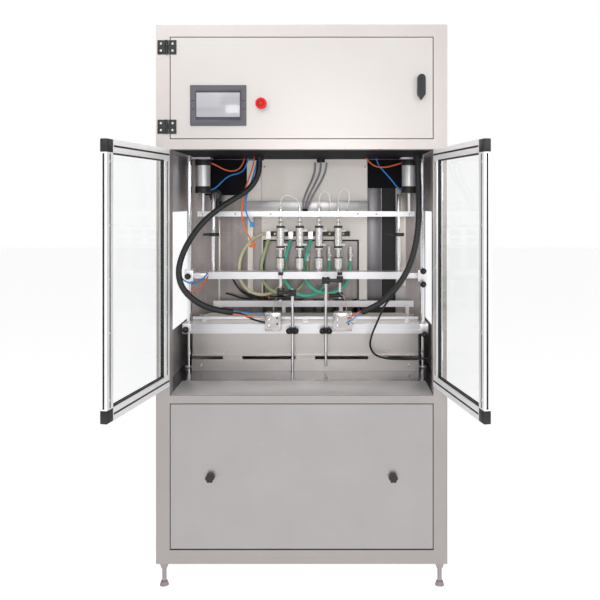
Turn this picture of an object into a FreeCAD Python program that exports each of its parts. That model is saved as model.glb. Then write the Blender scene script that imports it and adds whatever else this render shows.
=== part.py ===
import FreeCAD, Part
import math
import os

# Piston liquid filler. Millimetres, +Z up, front faces -Y, feet stand on z = 0.
V = FreeCAD.Vector
UP, ALONG_X, ALONG_Y = V(0, 0, 1), V(1, 0, 0), V(0, 1, 0)

# ---- overall sizes ----
WIDTH = 1050
DEPTH = 900
HEIGHT = 2030
FOOT_HEIGHT = 86
TABLE_TOP = 694
CEILING = 1580
POST = 50
TUBE_WALL = 2
SHEET = 2
CLEAR = 0.3          # running gap between pieces that move past each other
PANEL_GAP = 3        # gap round doors and lift-off panels
BOTTOM_RAIL = 50
TABLE_RAIL = 28
MID_RAIL = 36
TOP_RAIL = 43
MULLION = 30
MULLION_X = 329

# ---- window doors ----
DOOR_THICK = 22
DOOR_STILE = 40
DOOR_BOTTOM = 732
DOOR_TOP = 1578
DOOR_OPEN = 100.5    # degrees from closed, at rest
PIN_X = 480
PIN_OUT = 14         # hinge pin in front of the posts
PIN_RADIUS = 2.5
KNUCKLE_RADIUS = 4.4
EDGE_GAP = 8
MEET_GAP = 4
GLASS = 5
HINGE_LEAF = 31
HINGE_TALL = 104
HINGE_Z = (820, 1393)

# ---- control cabinet ----
CONTROL_HINGE_TALL = 51
CONTROL_HINGE_Z = (1635, 1921)
CONTROL_PIN_X = -485
CONTROL_PIN_OUT = 6
RIM = 20
SCREEN_X, SCREEN_Z = (-401, -199), (1664, 1810)
ESTOP_X, ESTOP_Z = -144, 1742
LATCH_X, LATCH_Z = 429.5, 1833
KNOB_Z = 400

# ---- columns, bars and heads ----
COLUMN_X, COLUMN_DEPTH, COLUMN_RADIUS = 490, 456, 10
NOZZLE_BAR_Z, NOZZLE_BAR_TALL = 1065, 30
NOZZLE_BAR_DEPTH = (460, 532)
STOPPER_BAR_Z, STOPPER_BAR_TALL = 847, 39
STOPPER_BAR_DEPTH = (391, 411)
STOPPER_BAR_HALF = 474
NOZZLE_BAR_HALF = 415
HEADS, HEAD_PITCH, HEAD_CENTRE = 4, 82, 14
HEAD_DEPTH = 500
LIFT_BAR_Z, LIFT_BAR_TALL, LIFT_BAR_WIDE = 1328, 22, 30
LIFT_BAR_HALF = 462
LIFT_CYLINDER_X, LIFT_ROD_RADIUS = 440, 8
LIFT_GUIDE_X, LIFT_GUIDE_RADIUS = 395, 8
LIFT_STROKE = 60
NOZZLE_RADIUS = 7

# ---- conveyor ----
BELT_TOP, BELT_THICK = 908, 3
BELT_DEPTH = (432, 560)
ROLLER_RADIUS, ROLLER_X = 48, 412
CONVEYOR_HALF = 468

# ---- pumps ----
PUMP_PITCH, PUMP_CENTRE, PUMP_DEPTH = 94, 50, 740
PUMP_BORE, PUMP_WALL = 56, 5
PUMP_Z = (800, 1116)
VALVE_Z = 1170
PUMP_STROKE = 150
PISTON_ROD = 10
SPINDLE_RADIUS = 15
SCREW_RADIUS = 10
DRIVE_PLATE_Z, DRIVE_PLATE_THICK = 600, 20
GUIDE_OFFSET, GUIDE_RADIUS = 180, 12
BASE_PLATE_Z = 290

# ---- stoppers and stand rods ----
STAND_X, STAND_DEPTH, STAND_RADIUS = (-52, 85), 378, 6
STAND_Z = ((TABLE_TOP + 1, 1034), (717, 1085))
STOPPER_X = ((-160, -98), (116, 190))
STOPPER_PIN_Z = 925
STOPPER_TRAVEL = 40


def door_reach():
    """How far an open window door stands out in front of the posts."""
    length = EDGE_GAP + (PIN_X - EDGE_GAP - MEET_GAP / 2)
    lean = math.radians(DOOR_OPEN - 90)
    return PIN_OUT + length * math.cos(lean) + DOOR_THICK / 2 * math.sin(lean)


FRONT = (door_reach() - DEPTH) / 2   # y of the posts' front faces, so the whole is centred


def at(depth):
    """The y of a place that lies this deep behind the posts' front faces."""
    return FRONT + depth


def box(x, y, z):
    """A block from three (low, high) pairs."""
    return Part.makeBox(x[1] - x[0], y[1] - y[0], z[1] - z[0], V(x[0], y[0], z[0]))


def deep(x, depth, z):
    """A block whose second pair is a depth behind the posts' front faces."""
    return box(x, (at(depth[0]), at(depth[1])), z)


def rod(x, depth, z, radius, length, axis=UP):
    """A round bar that starts at a point and runs along an axis."""
    return Part.makeCylinder(radius, length, V(x, at(depth), z), axis)


def tube(x, depth, z, along):
    """A square tube, open at its ends, that runs along X, Y or Z."""
    hole = [(p[0] + TUBE_WALL, p[1] - TUBE_WALL) for p in (x, depth, z)]
    hole[along] = ((x, depth, z)[along][0] - 1, (x, depth, z)[along][1] + 1)
    return deep(x, depth, z).cut(deep(*hole))


def fuse(shapes):
    """One solid from overlapping or touching shapes."""
    return shapes[0].multiFuse(shapes[1:]).removeSplitter()


def drill(shape, tools):
    """A shape with holes cut by each tool."""
    return shape.cut(Part.makeCompound(tools))


def mirror_x(shape):
    """The same shape on the other side of the middle plane."""
    return shape.mirror(V(0, 0, 0), ALONG_X)


def save(name, shapes):
    """Write one node as the separate solids it is made of."""
    solids = [s for shape in shapes for s in shape.Solids]
    whole = solids[0] if len(solids) == 1 else Part.makeCompound(solids)
    whole.exportStep("parts/%s.step" % name)


# ---------------------------------------------------------------- frame and sheets
INNER = WIDTH / 2 - POST
RAIL_LEVELS = (
    (FOOT_HEIGHT, BOTTOM_RAIL),
    (TABLE_TOP - SHEET - TABLE_RAIL, TABLE_RAIL),
    (CEILING, MID_RAIL),
    (HEIGHT - SHEET - TOP_RAIL, TOP_RAIL),
)
PANEL_Z = (FOOT_HEIGHT + BOTTOM_RAIL + 5, TABLE_TOP - SHEET - TABLE_RAIL - PANEL_GAP)


def corner_posts():
    """Four square tubes, plugged at the foot."""
    posts = []
    for side in (-1, 1):
        for depth in ((0, POST), (DEPTH - POST, DEPTH)):
            x = sorted((side * INNER, side * (INNER + POST)))
            inner = deep(
                (x[0] + TUBE_WALL, x[1] - TUBE_WALL),
                (depth[0] + TUBE_WALL, depth[1] - TUBE_WALL),
                (FOOT_HEIGHT + 8, HEIGHT),
            )
            posts.append(deep(x, depth, (FOOT_HEIGHT, HEIGHT - SHEET)).cut(inner))
    return posts


def frame_rails():
    """Front, rear and side rails at four levels."""
    rails = []
    for low, tall in RAIL_LEVELS:
        z = (low, low + tall)
        rails += [tube((-INNER, INNER), d, z, 0) for d in ((0, POST), (DEPTH - POST, DEPTH))]
        for side in (-1, 1):
            x = sorted((side * INNER, side * (INNER + POST)))
            rails.append(tube(x, (POST, DEPTH - POST), z, 1))
    return rails


def mullions():
    """Two uprights behind the access panel, threaded for its star knobs."""
    z = (FOOT_HEIGHT + BOTTOM_RAIL, TABLE_TOP - SHEET - TABLE_RAIL)
    bars = []
    for x in (-MULLION_X, MULLION_X):
        bar = tube((x - MULLION / 2, x + MULLION / 2), (RIM + CLEAR, RIM + CLEAR + MULLION), z, 2)
        bars.append(drill(bar, [rod(x, RIM - 5, KNOB_Z, 4 + CLEAR, 15, ALONG_Y)]))
    return bars


def side_sheets():
    """Left and right skins: lower cabinet, chamber edges and control cabinet."""
    skin = (WIDTH / 2 - SHEET, WIDTH / 2)
    between = (POST, DEPTH - POST)
    areas = (
        (between, (FOOT_HEIGHT + BOTTOM_RAIL, TABLE_TOP - SHEET - TABLE_RAIL)),
        (between, (TABLE_TOP, 880)),
        ((620, DEPTH - POST), (880, 1350)),
        (between, (1350, CEILING)),
        (between, (CEILING + MID_RAIL, HEIGHT - SHEET - TOP_RAIL)),
    )
    right = [deep(skin, depth, z) for depth, z in areas]
    return right + [mirror_x(s) for s in right]


PUMP_PANEL_X = (-200, 265)
PUMP_PANEL_DEPTH = 620
BULKHEAD_DEPTH = 640


def rear_sheets():
    """Back covers and the chamber's rear wall each side of the pump panel."""
    skin = (DEPTH - SHEET, DEPTH)
    covers = (
        (FOOT_HEIGHT + BOTTOM_RAIL, TABLE_TOP - SHEET - TABLE_RAIL),
        (TABLE_TOP, CEILING),
        (CEILING + MID_RAIL, HEIGHT - SHEET - TOP_RAIL),
    )
    sheets = [deep((-INNER, INNER), skin, z) for z in covers]
    ports = (pump_x(0) - 40, pump_x(3) + 40)
    sheets[1] = sheets[1].cut(deep(ports, (DEPTH - 10, DEPTH + 10), (VALVE_Z - 40, VALVE_Z + 40)))
    wall = (BULKHEAD_DEPTH, BULKHEAD_DEPTH + SHEET)
    edge = WIDTH / 2 - SHEET
    for x in ((-edge, PUMP_PANEL_X[0]), (PUMP_PANEL_X[1], edge)):
        sheets.append(deep(x, wall, (TABLE_TOP, CEILING)))
    return sheets


def cabinet_decks():
    """Roof, chamber ceiling and bottom tray."""
    edge = WIDTH / 2
    roof = deep((-edge, edge), (0, DEPTH), (HEIGHT - SHEET, HEIGHT))
    ceiling = deep((-INNER, INNER), (POST, DEPTH - POST), (CEILING, CEILING + SHEET))
    tray = deep((-INNER, INNER), (POST, DEPTH - POST), (FOOT_HEIGHT, FOOT_HEIGHT + SHEET))
    return [roof, ceiling, tray]


def table_sheets():
    """Front sill, sheet under the conveyor and the thicker deck that carries the pumps."""
    edge = WIDTH / 2 - SHEET
    z = (TABLE_TOP - SHEET, TABLE_TOP)
    sill = fuse([deep((-INNER, INNER), (0, POST), z), deep((-edge, edge), (POST, 218), z)])
    middle = deep((-edge, edge), (218.5, BULKHEAD_DEPTH + SHEET), z)
    deck = deep((-INNER, INNER), (BULKHEAD_DEPTH + SHEET, DEPTH - POST), (TABLE_TOP - 10, TABLE_TOP))
    holes = [rod(pump_x(i), PUMP_DEPTH, TABLE_TOP - 20, PISTON_ROD + 2, 40) for i in range(4)]
    return [sill, middle, drill(deck, holes)]


def pump_x(index):
    """The x of a pump's axis."""
    return PUMP_CENTRE + (index - 1.5) * PUMP_PITCH


def head_x(index):
    """The x of a filling head's axis."""
    return HEAD_CENTRE + (index - (HEADS - 1) / 2) * HEAD_PITCH


def pump_panel():
    """White cover in front of the pumps, with a window and a bright bottom flange."""
    front = (PUMP_PANEL_DEPTH, PUMP_PANEL_DEPTH + SHEET)
    sheet = deep(PUMP_PANEL_X, front, (957, CEILING))
    window = deep((-190, 226), (600, 630), (950, 1219))
    flange = deep(PUMP_PANEL_X, (PUMP_PANEL_DEPTH - 14, PUMP_PANEL_DEPTH), (1349, 1396))
    returns = [deep((x, x + SHEET), (PUMP_PANEL_DEPTH, BULKHEAD_DEPTH), (957, CEILING))
               for x in (PUMP_PANEL_X[0], PUMP_PANEL_X[1] - SHEET)]
    return [fuse([sheet.cut(window)] + returns), flange]


def levelling_feet():
    """Threaded feet under the posts."""
    feet = []
    for x in (-INNER - POST / 2, INNER + POST / 2):
        for depth in (POST / 2, DEPTH - POST / 2):
            pad = Part.makeCone(17, 12, 14, V(x, at(depth), 0), UP)
            stem = rod(x, depth, 10, 8, FOOT_HEIGHT - 12)
            gusset = Part.makeCone(10, 20, 26, V(x, at(depth), FOOT_HEIGHT - 26), UP)
            feet.append(fuse([pad, stem, gusset]))
    return feet


# ---------------------------------------------------------------- doors and panels
def pan(x, z):
    """A folded door pan: a front sheet with rims turned back."""
    outer = deep(x, (0, RIM), z)
    hollow = deep((x[0] + SHEET, x[1] - SHEET), (SHEET, RIM + 1), (z[0] + SHEET, z[1] - SHEET))
    return outer.cut(hollow)


def access_panel():
    """The lift-off front panel of the lower cabinet."""
    sheet = pan((-INNER + PANEL_GAP, INNER - PANEL_GAP), PANEL_Z)
    return [drill(sheet, [rod(x, -5, KNOB_Z, 4 + CLEAR, 20, ALONG_Y) for x in (-MULLION_X, MULLION_X)])]


def star_knob(x):
    """A star knob with its stud."""
    grip = rod(x, -20, KNOB_Z, 14, 14, ALONG_Y)
    lobes = []
    for turn in range(6):
        a = math.radians(60 * turn)
        lobes.append(rod(x + 12 * math.cos(a), -20, KNOB_Z + 12 * math.sin(a), 4.5, 14, ALONG_Y))
    return [fuse([grip, rod(x, -6, KNOB_Z, 8, 5.5, ALONG_Y), rod(x, -6, KNOB_Z, 4, 38, ALONG_Y)] + lobes)]


def hinge_barrel(x, out, z, radius):
    """A hinge knuckle round a vertical pin."""
    return rod(x, -out, z[0], radius, z[1] - z[0])


def knuckles(low, tall):
    """The fixed knuckles' two z ranges and the moving one's, a gap apart."""
    third = tall / 3
    fixed = ((low, low + third), (low + 2 * third, low + tall))
    return fixed, (low + third + CLEAR, low + 2 * third - CLEAR)


def fixed_leaf(pin_x, out, low, tall, leaf, thick, side):
    """A leaf screwed on a post, its two knuckles and the pin."""
    ends, _ = knuckles(low, tall)
    plate_x = sorted((pin_x + side * 6, pin_x + side * leaf))
    shapes = [deep(plate_x, (-thick, 0), (low, low + tall))]
    for z in ends:
        shapes.append(deep(sorted((pin_x, pin_x + side * 7)), (-out, -thick / 2), z))
        shapes.append(hinge_barrel(pin_x, out, z, KNUCKLE_RADIUS))
    shapes.append(rod(pin_x, -out, low, PIN_RADIUS, tall))
    return fuse(shapes)


def hinge_leaves_fixed():
    """The posts' leaves of both window doors and of the control door."""
    leaves = []
    for low in HINGE_Z:
        left = fixed_leaf(-PIN_X, PIN_OUT, low, HINGE_TALL, HINGE_LEAF, 4, -1)
        leaves += [left, mirror_x(left)]
    for low in CONTROL_HINGE_Z:
        leaves.append(fixed_leaf(CONTROL_PIN_X, CONTROL_PIN_OUT, low, CONTROL_HINGE_TALL, 34, 4, -1))
    return leaves


def swing(shape):
    """Turn a left door from closed to its rest position about its hinge pin."""
    turned = shape.copy()
    turned.rotate(V(-PIN_X, at(-PIN_OUT), 0), UP, -DOOR_OPEN)
    return turned


def window_door():
    """The left door's frame, glass and fittings, in place."""
    low, high = -PIN_X + EDGE_GAP, -MEET_GAP / 2
    depth = (-PIN_OUT - DOOR_THICK / 2, -PIN_OUT + DOOR_THICK / 2)
    inner_x, inner_z = (low + DOOR_STILE, high - DOOR_STILE), (DOOR_BOTTOM + DOOR_STILE, DOOR_TOP - DOOR_STILE)
    bite = 8
    middle = (-PIN_OUT - GLASS / 2, -PIN_OUT + GLASS / 2)
    glass = deep((inner_x[0] - bite, inner_x[1] + bite), middle, (inner_z[0] - bite, inner_z[1] + bite))
    groove = deep(
        (inner_x[0] - bite - 1, inner_x[1] + bite + 1),
        (middle[0] - CLEAR, middle[1] + CLEAR),
        (inner_z[0] - bite - 1, inner_z[1] + bite + 1),
    )
    bars = [
        deep((low, inner_x[0]), depth, (DOOR_BOTTOM, DOOR_TOP)),
        deep((inner_x[1], high), depth, inner_z),
        deep(inner_x, depth, (DOOR_BOTTOM, inner_z[0])),
        deep(inner_x, depth, (inner_z[1], DOOR_TOP)),
    ]
    bars = [bar.cut(groove) for bar in bars]
    corners = [deep((inner_x[1], high), depth, z).cut(groove) for z in ((DOOR_BOTTOM, inner_z[0]), (inner_z[1], DOOR_TOP))]
    leaves = []
    for hinge_low in HINGE_Z:
        _, z = knuckles(hinge_low, HINGE_TALL)
        leaf = deep((low - 3, low), (-PIN_OUT - 9, -PIN_OUT + 9), (hinge_low, hinge_low + HINGE_TALL))
        arm = deep((-PIN_X, low - 2), (-PIN_OUT - 3, -PIN_OUT + 3), z)
        leaf = fuse([leaf, arm, hinge_barrel(-PIN_X, PIN_OUT, z, KNUCKLE_RADIUS)])
        clash = [deep((low - 9, low - 3), (-PIN_OUT - 10, -PIN_OUT + 10), ends)
                 for ends in knuckles(hinge_low, HINGE_TALL)[0]]
        pin_hole = rod(-PIN_X, -PIN_OUT, hinge_low - 1, PIN_RADIUS + CLEAR, HINGE_TALL + 2)
        leaves.append(drill(leaf, [pin_hole] + clash))
    return ([swing(b) for b in bars], [swing(glass)], [swing(s) for s in corners + leaves])


CONTROL_X = (-INNER + PANEL_GAP, INNER - PANEL_GAP)
CONTROL_Z = (CEILING + MID_RAIL + PANEL_GAP, HEIGHT - SHEET - TOP_RAIL - PANEL_GAP)


def control_door():
    """The control cabinet's door, cut for the screen, emergency stop and latch."""
    cut_x, cut_z = (SCREEN_X[0] + 11, SCREEN_X[1] - 11), (SCREEN_Z[0] + 11, SCREEN_Z[1] - 11)
    holes = [
        deep(cut_x, (-5, 10), cut_z),
        rod(ESTOP_X, -5, ESTOP_Z, 11, 20, ALONG_Y),
        rod(LATCH_X, -5, LATCH_Z, 8 + CLEAR, 20, ALONG_Y),
    ]
    return [drill(pan(CONTROL_X, CONTROL_Z), holes)]


def control_door_fittings():
    """The door's two hinge leaves, and the emergency stop's collar and contact block."""
    solids = []
    for low in CONTROL_HINGE_Z:
        _, z = knuckles(low, CONTROL_HINGE_TALL)
        leaf_x = (CONTROL_PIN_X + 6, CONTROL_PIN_X + 34)
        leaf = deep(leaf_x, (-4, 0), (low, low + CONTROL_HINGE_TALL))
        web = deep((CONTROL_PIN_X, CONTROL_PIN_X + 7), (-CONTROL_PIN_OUT, -2), z)
        barrel = hinge_barrel(CONTROL_PIN_X, CONTROL_PIN_OUT, z, KNUCKLE_RADIUS)
        bore = rod(CONTROL_PIN_X, -CONTROL_PIN_OUT, low - 1, PIN_RADIUS + CLEAR, CONTROL_HINGE_TALL + 2)
        solids.append(fuse([leaf, web, barrel]).cut(bore))
    collar = fuse([
        rod(ESTOP_X, -12, ESTOP_Z, 15, 12, ALONG_Y),
        rod(ESTOP_X, -1, ESTOP_Z, 11, 10, ALONG_Y),
        deep((ESTOP_X - 20, ESTOP_X + 20), (SHEET, 52), (ESTOP_Z - 20, ESTOP_Z + 20)),
    ])
    solids.append(collar.cut(rod(ESTOP_X, -13, ESTOP_Z, 8 + CLEAR, 33, ALONG_Y)))
    return solids


def touch_screen():
    """The operator screen: bezel, case behind the door and the glass."""
    case_x, case_z = (SCREEN_X[0] + 12, SCREEN_X[1] - 12), (SCREEN_Z[0] + 12, SCREEN_Z[1] - 12)
    glass_x, glass_z = (SCREEN_X[0] + 23, SCREEN_X[1] - 23), (SCREEN_Z[0] + 31, SCREEN_Z[1] - 27)
    body = fuse([deep(SCREEN_X, (-8, 0), SCREEN_Z), deep(case_x, (-1, 42), case_z)])
    glass = deep(glass_x, (-7, -4), glass_z)
    return [body.cut(glass), glass]


def estop_button():
    """The mushroom head and its stem."""
    head = fuse([rod(ESTOP_X, -32, ESTOP_Z, 20, 12, ALONG_Y), rod(ESTOP_X, -36, ESTOP_Z, 14, 5, ALONG_Y)])
    return [fuse([head, rod(ESTOP_X, -21, ESTOP_Z, 8, 29, ALONG_Y)])]


def latch_handle():
    """The swing handle, its shaft and the cam behind the frame post."""
    grip = fuse([
        rod(LATCH_X, -24, LATCH_Z, 14.5, 20, ALONG_Y),
        deep((LATCH_X - 14.5, LATCH_X + 14.5), (-24, -4), (1775, LATCH_Z)),
        Part.Face(Part.makePolygon([
            V(LATCH_X - 14.5, at(-24), 1775), V(LATCH_X + 14.5, at(-24), 1775),
            V(LATCH_X, at(-24), 1755), V(LATCH_X - 14.5, at(-24), 1775)])).extrude(V(0, 20, 0)),
    ])
    shaft = rod(LATCH_X, -5, LATCH_Z, 8, 62, ALONG_Y)
    cam = deep((LATCH_X - 9, LATCH_X + 9), (POST + CLEAR, POST + 5), (LATCH_Z, LATCH_Z + 56))
    return [fuse([grip, shaft, cam])]


# ---------------------------------------------------------------- electrics and air
def electrical_panel():
    """Back plate with drive, controller, power supply, relays and terminals."""
    plate = (DEPTH - 60, DEPTH - 57)
    rows = (((-400, -280), 1700, 190, 150), ((-260, -140), 1700, 160, 110), ((-120, -40), 1720, 120, 100),
            ((0, 200), 1700, 90, 120), ((240, 400), 1700, 120, 90), ((0, 380), 1850, 50, 60))
    solids = [deep((-430, 430), plate, (1640, 1960))]
    for x, low, tall, thick in rows:
        solids.append(deep(x, (plate[0] - thick, plate[0]), (low, low + tall)))
    feet = [deep((x, x + 30), (plate[1], DEPTH - SHEET), (1650, 1950)) for x in (-420, 390)]
    return solids + feet


def spindle_ends():
    """The valve spindle's first and last x."""
    return pump_x(0) - 45, pump_x(3) + 60


def pneumatic_units():
    """Air regulator on the rear wall and the rotary actuator of the valve spindle."""
    x, z = -395, 1417
    regulator = fuse([
        rod(x, BULKHEAD_DEPTH - 80, z, 27, 50, ALONG_Y),
        rod(x, BULKHEAD_DEPTH - 45, z, 20, 45, ALONG_Y),
        rod(x, BULKHEAD_DEPTH - 30, z - 75, 20, 75),
    ])
    end = spindle_ends()[1]
    body = deep((end - 18, end + 45), (PUMP_DEPTH - 35, PUMP_DEPTH + 35), (VALVE_Z - 35, VALVE_Z + 35))
    foot = deep((end - 10, end + 20), (PUMP_DEPTH - 30, PUMP_DEPTH + 30), (TABLE_TOP, VALVE_Z - 35))
    bore = rod(end - 19, PUMP_DEPTH, VALVE_Z, 8 + CLEAR, 20, ALONG_X)
    return [regulator, body.cut(bore), foot]


GLANDS = ((-190, 400, 13), (454, 300, 13), (62, 560, 12))


def cable_glands():
    """Glands in the chamber ceiling for the two conduits and the air bundle."""
    solids = []
    for x, depth, radius in GLANDS:
        solids.append(rod(x, depth, CEILING - 18, radius + 6, 18))
    return solids


# ---------------------------------------------------------------- conveyor
def conveyor_frame():
    """Base beams, spacers, side plates and cross ties."""
    plate_z = (754, STOPPER_BAR_Z - 1)
    solids = []
    for depth, plate in (((391, 421), (412, 416)), ((575, 605), (575, 579))):
        solids.append(tube((-CONVEYOR_HALF, CONVEYOR_HALF), depth, (TABLE_TOP, 741), 0))
        for x in (-300, 0, 300):
            solids.append(deep((x - 40, x + 40), (depth[0] + 4, depth[0] + 26), (741, 754)))
        side = deep((-CONVEYOR_HALF, CONVEYOR_HALF), plate, (754, 900))
        bores = [rod(x, plate[0] - 2, roller_z(), 8 + CLEAR, 8, ALONG_Y) for x in (-ROLLER_X, ROLLER_X)]
        solids.append(drill(side, bores))
    solids.append(deep((-CONVEYOR_HALF, CONVEYOR_HALF), (393, 412), (754, 758)))
    for x in (-250, 250):
        solids.append(deep((x - 15, x + 15), (416, 575), (765, 795)))
    return solids


def roller_z():
    """The height of the rollers' axes."""
    return BELT_TOP - BELT_THICK - ROLLER_RADIUS


def guide_rails():
    """Thin front rail and the taller rear rail that keep the bottles in line."""
    front = [deep((-CONVEYOR_HALF, CONVEYOR_HALF), (412, 418), (902, 914))]
    front += [deep((x - 8, x + 8), (408, 412), (890, 914)) for x in (-420, -200, 0, 200, 420)]
    rear = [deep((-410, CONVEYOR_HALF), (584, 588), (930, 957))]
    rear += [deep((x - 8, x + 8), (579, 584), (880, 950)) for x in (-380, -100, 150, 440)]
    return front + rear


def stadium(radius, depth):
    """A belt-shaped block round both rollers."""
    z = roller_z()
    ends = [rod(x, depth[0], z, radius, depth[1] - depth[0], ALONG_Y) for x in (-ROLLER_X, ROLLER_X)]
    return fuse(ends + [deep((-ROLLER_X, ROLLER_X), depth, (z - radius, z + radius))])


def conveyor_belt():
    """The flat belt as one closed loop."""
    inner = stadium(ROLLER_RADIUS, (BELT_DEPTH[0] - 1, BELT_DEPTH[1] + 1))
    return [stadium(ROLLER_RADIUS + BELT_THICK, BELT_DEPTH).cut(inner)]


def roller(side):
    """A conveyor roller with its journals; the drive roller's runs on to the gearbox."""
    x, z = side * ROLLER_X, roller_z()
    drum = rod(x, BELT_DEPTH[0], z, ROLLER_RADIUS - CLEAR, BELT_DEPTH[1] - BELT_DEPTH[0], ALONG_Y)
    end = 600 if side > 0 else 582
    return [fuse([drum, rod(x, 412, z, 8, end - 412, ALONG_Y)])]


def gearmotor():
    """The conveyor's worm gearbox and motor behind the rear side plate."""
    z = roller_z()
    box_x = (ROLLER_X - 45, ROLLER_X + 45)
    gearbox = deep(box_x, (592, 638), (z - 50, z + 32))
    bore = rod(ROLLER_X, 590, z, 8 + CLEAR, 12, ALONG_Y)
    motor = rod(ROLLER_X - 45, 610, z - 20, 27, 130, V(-1, 0, 0))
    mount = deep((ROLLER_X - 30, ROLLER_X + 30), (605, 636), (TABLE_TOP, z - 50))
    return [fuse([gearbox.cut(bore), motor]), mount]


# ---------------------------------------------------------------- columns, bars, heads
def lift_columns():
    """Two chrome columns from the table to the ceiling."""
    return [rod(x, COLUMN_DEPTH, TABLE_TOP, COLUMN_RADIUS, CEILING - TABLE_TOP) for x in (-COLUMN_X, COLUMN_X)]


def column_clamps():
    """Split clamp blocks that hold both bars on the columns, with their ball knobs."""
    solids = []
    for side in (-1, 1):
        x = side * COLUMN_X
        clamps = (
            (STOPPER_BAR_HALF, (STOPPER_BAR_DEPTH[0], 478), (846, 888)),
            (NOZZLE_BAR_HALF, (436, 520), (NOZZLE_BAR_Z - 8, NOZZLE_BAR_Z + 40)),
        )
        for inner, depth, z in clamps:
            block = deep(sorted((side * inner, side * (COLUMN_X + 18))), depth, z)
            solids.append(block.cut(rod(x, COLUMN_DEPTH, z[0] - 1, COLUMN_RADIUS, z[1] - z[0] + 2)))
        for low, depth in ((866, 391), (1056 + 24, 436)):
            ball = Part.makeSphere(13, V(x, at(depth - 22), low))
            solids.append(fuse([ball, rod(x, depth - 14, low, 5, 14, ALONG_Y)]))
        foot = rod(x, COLUMN_DEPTH, TABLE_TOP, 18, 8)
        solids.append(foot.cut(rod(x, COLUMN_DEPTH, TABLE_TOP - 1, COLUMN_RADIUS, 12)))
    return solids


def cross_bars():
    """The nozzle bar and the stopper bar, both clamped on the columns."""
    x = (-STOPPER_BAR_HALF, STOPPER_BAR_HALF)
    nozzle = deep((-NOZZLE_BAR_HALF, NOZZLE_BAR_HALF), NOZZLE_BAR_DEPTH, (NOZZLE_BAR_Z, NOZZLE_BAR_Z + NOZZLE_BAR_TALL))
    bores = [rod(head_x(i), HEAD_DEPTH, NOZZLE_BAR_Z - 1, NOZZLE_RADIUS + CLEAR, NOZZLE_BAR_TALL + 2)
             for i in range(HEADS)]
    stopper = deep(x, STOPPER_BAR_DEPTH, (STOPPER_BAR_Z, STOPPER_BAR_Z + STOPPER_BAR_TALL))
    slot_z = STOPPER_BAR_Z + STOPPER_BAR_TALL / 2
    slot = deep((x[0] - 1, x[1] + 1), (STOPPER_BAR_DEPTH[0] - 1, STOPPER_BAR_DEPTH[0] + 4),
                (slot_z - 4, slot_z + 4))
    return [drill(nozzle, bores), stopper.cut(slot)]


def lift_guides():
    """Guide rods on the nozzle bar that steady the lift bar, with stop collars."""
    solids = []
    low = NOZZLE_BAR_Z + NOZZLE_BAR_TALL
    for x in (-LIFT_GUIDE_X, LIFT_GUIDE_X):
        solids.append(rod(x, HEAD_DEPTH, low, LIFT_GUIDE_RADIUS, 1424 - low))
        collar = fuse([rod(x, HEAD_DEPTH, 1244, 24, 14), deep((x - 45, x), (HEAD_DEPTH - 9, HEAD_DEPTH + 9), (1246, 1256))])
        solids.append(collar.cut(rod(x, HEAD_DEPTH, 1240, LIFT_GUIDE_RADIUS, 30)))
    return solids


LIFT_BODY_Z = (1427, 1572)


def lift_cylinders():
    """Pneumatic cylinders that hang from the ceiling on their mounting plates."""
    solids = []
    for x in (-LIFT_CYLINDER_X, LIFT_CYLINDER_X):
        low, high = LIFT_BODY_Z
        body = fuse([
            rod(x, HEAD_DEPTH, low, 31, high - low),
            rod(x, HEAD_DEPTH, low, 33, 30),
            rod(x, HEAD_DEPTH, high - 27, 33, 27),
            deep((x - 38, x + 38), (HEAD_DEPTH - 38, HEAD_DEPTH + 38), (high, CEILING)),
        ])
        solids.append(body.cut(rod(x, HEAD_DEPTH, low - 1, LIFT_ROD_RADIUS + CLEAR, 116)))
    return solids


def lift_bar():
    """The lift bar with the two piston rods that carry it."""
    high = LIFT_BAR_Z + LIFT_BAR_TALL
    bar = deep((-LIFT_BAR_HALF, LIFT_BAR_HALF), (HEAD_DEPTH - LIFT_BAR_WIDE / 2, HEAD_DEPTH + LIFT_BAR_WIDE / 2),
               (LIFT_BAR_Z, high))
    bores = [rod(x, HEAD_DEPTH, LIFT_BAR_Z - 1, LIFT_GUIDE_RADIUS + CLEAR, 60)
             for x in (-LIFT_GUIDE_X, LIFT_GUIDE_X)]
    rods = [rod(x, HEAD_DEPTH, high, LIFT_ROD_RADIUS, 125) for x in (-LIFT_CYLINDER_X, LIFT_CYLINDER_X)]
    return [drill(bar, bores)] + rods


def head_actuators():
    """Each head's rod to the lift bar, nut and small air cylinder."""
    solids = []
    for i in range(HEADS):
        x = head_x(i)
        solids.append(fuse([
            rod(x, HEAD_DEPTH, 1194, 17.5, 94),
            rod(x, HEAD_DEPTH, 1288, 6, LIFT_BAR_Z - 1288),
        ]))
        solids.append(fuse([
            rod(x, HEAD_DEPTH, LIFT_BAR_Z + LIFT_BAR_TALL, 9, 10),
            rod(x, HEAD_DEPTH, LIFT_BAR_Z + LIFT_BAR_TALL + 10, 5.5, 18),
        ]))
    return solids


def head_valves():
    """Each head's flange, neck, valve body with its rear port, and nozzle tube."""
    solids = []
    low = NOZZLE_BAR_Z + NOZZLE_BAR_TALL + CLEAR
    for i in range(HEADS):
        x = head_x(i)
        solids.append(fuse([
            rod(x, HEAD_DEPTH, 1188, 21, 6),
            rod(x, HEAD_DEPTH, 1148, 9, 42),
            rod(x, HEAD_DEPTH, 1108, 19.5, 42),
            rod(x, HEAD_DEPTH, 1128, 8, 28, ALONG_Y),
            rod(x, HEAD_DEPTH, low, 12, 20),
            rod(x, HEAD_DEPTH, NOZZLE_BAR_Z - 3, NOZZLE_RADIUS, 60),
        ]))
    return solids


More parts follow.
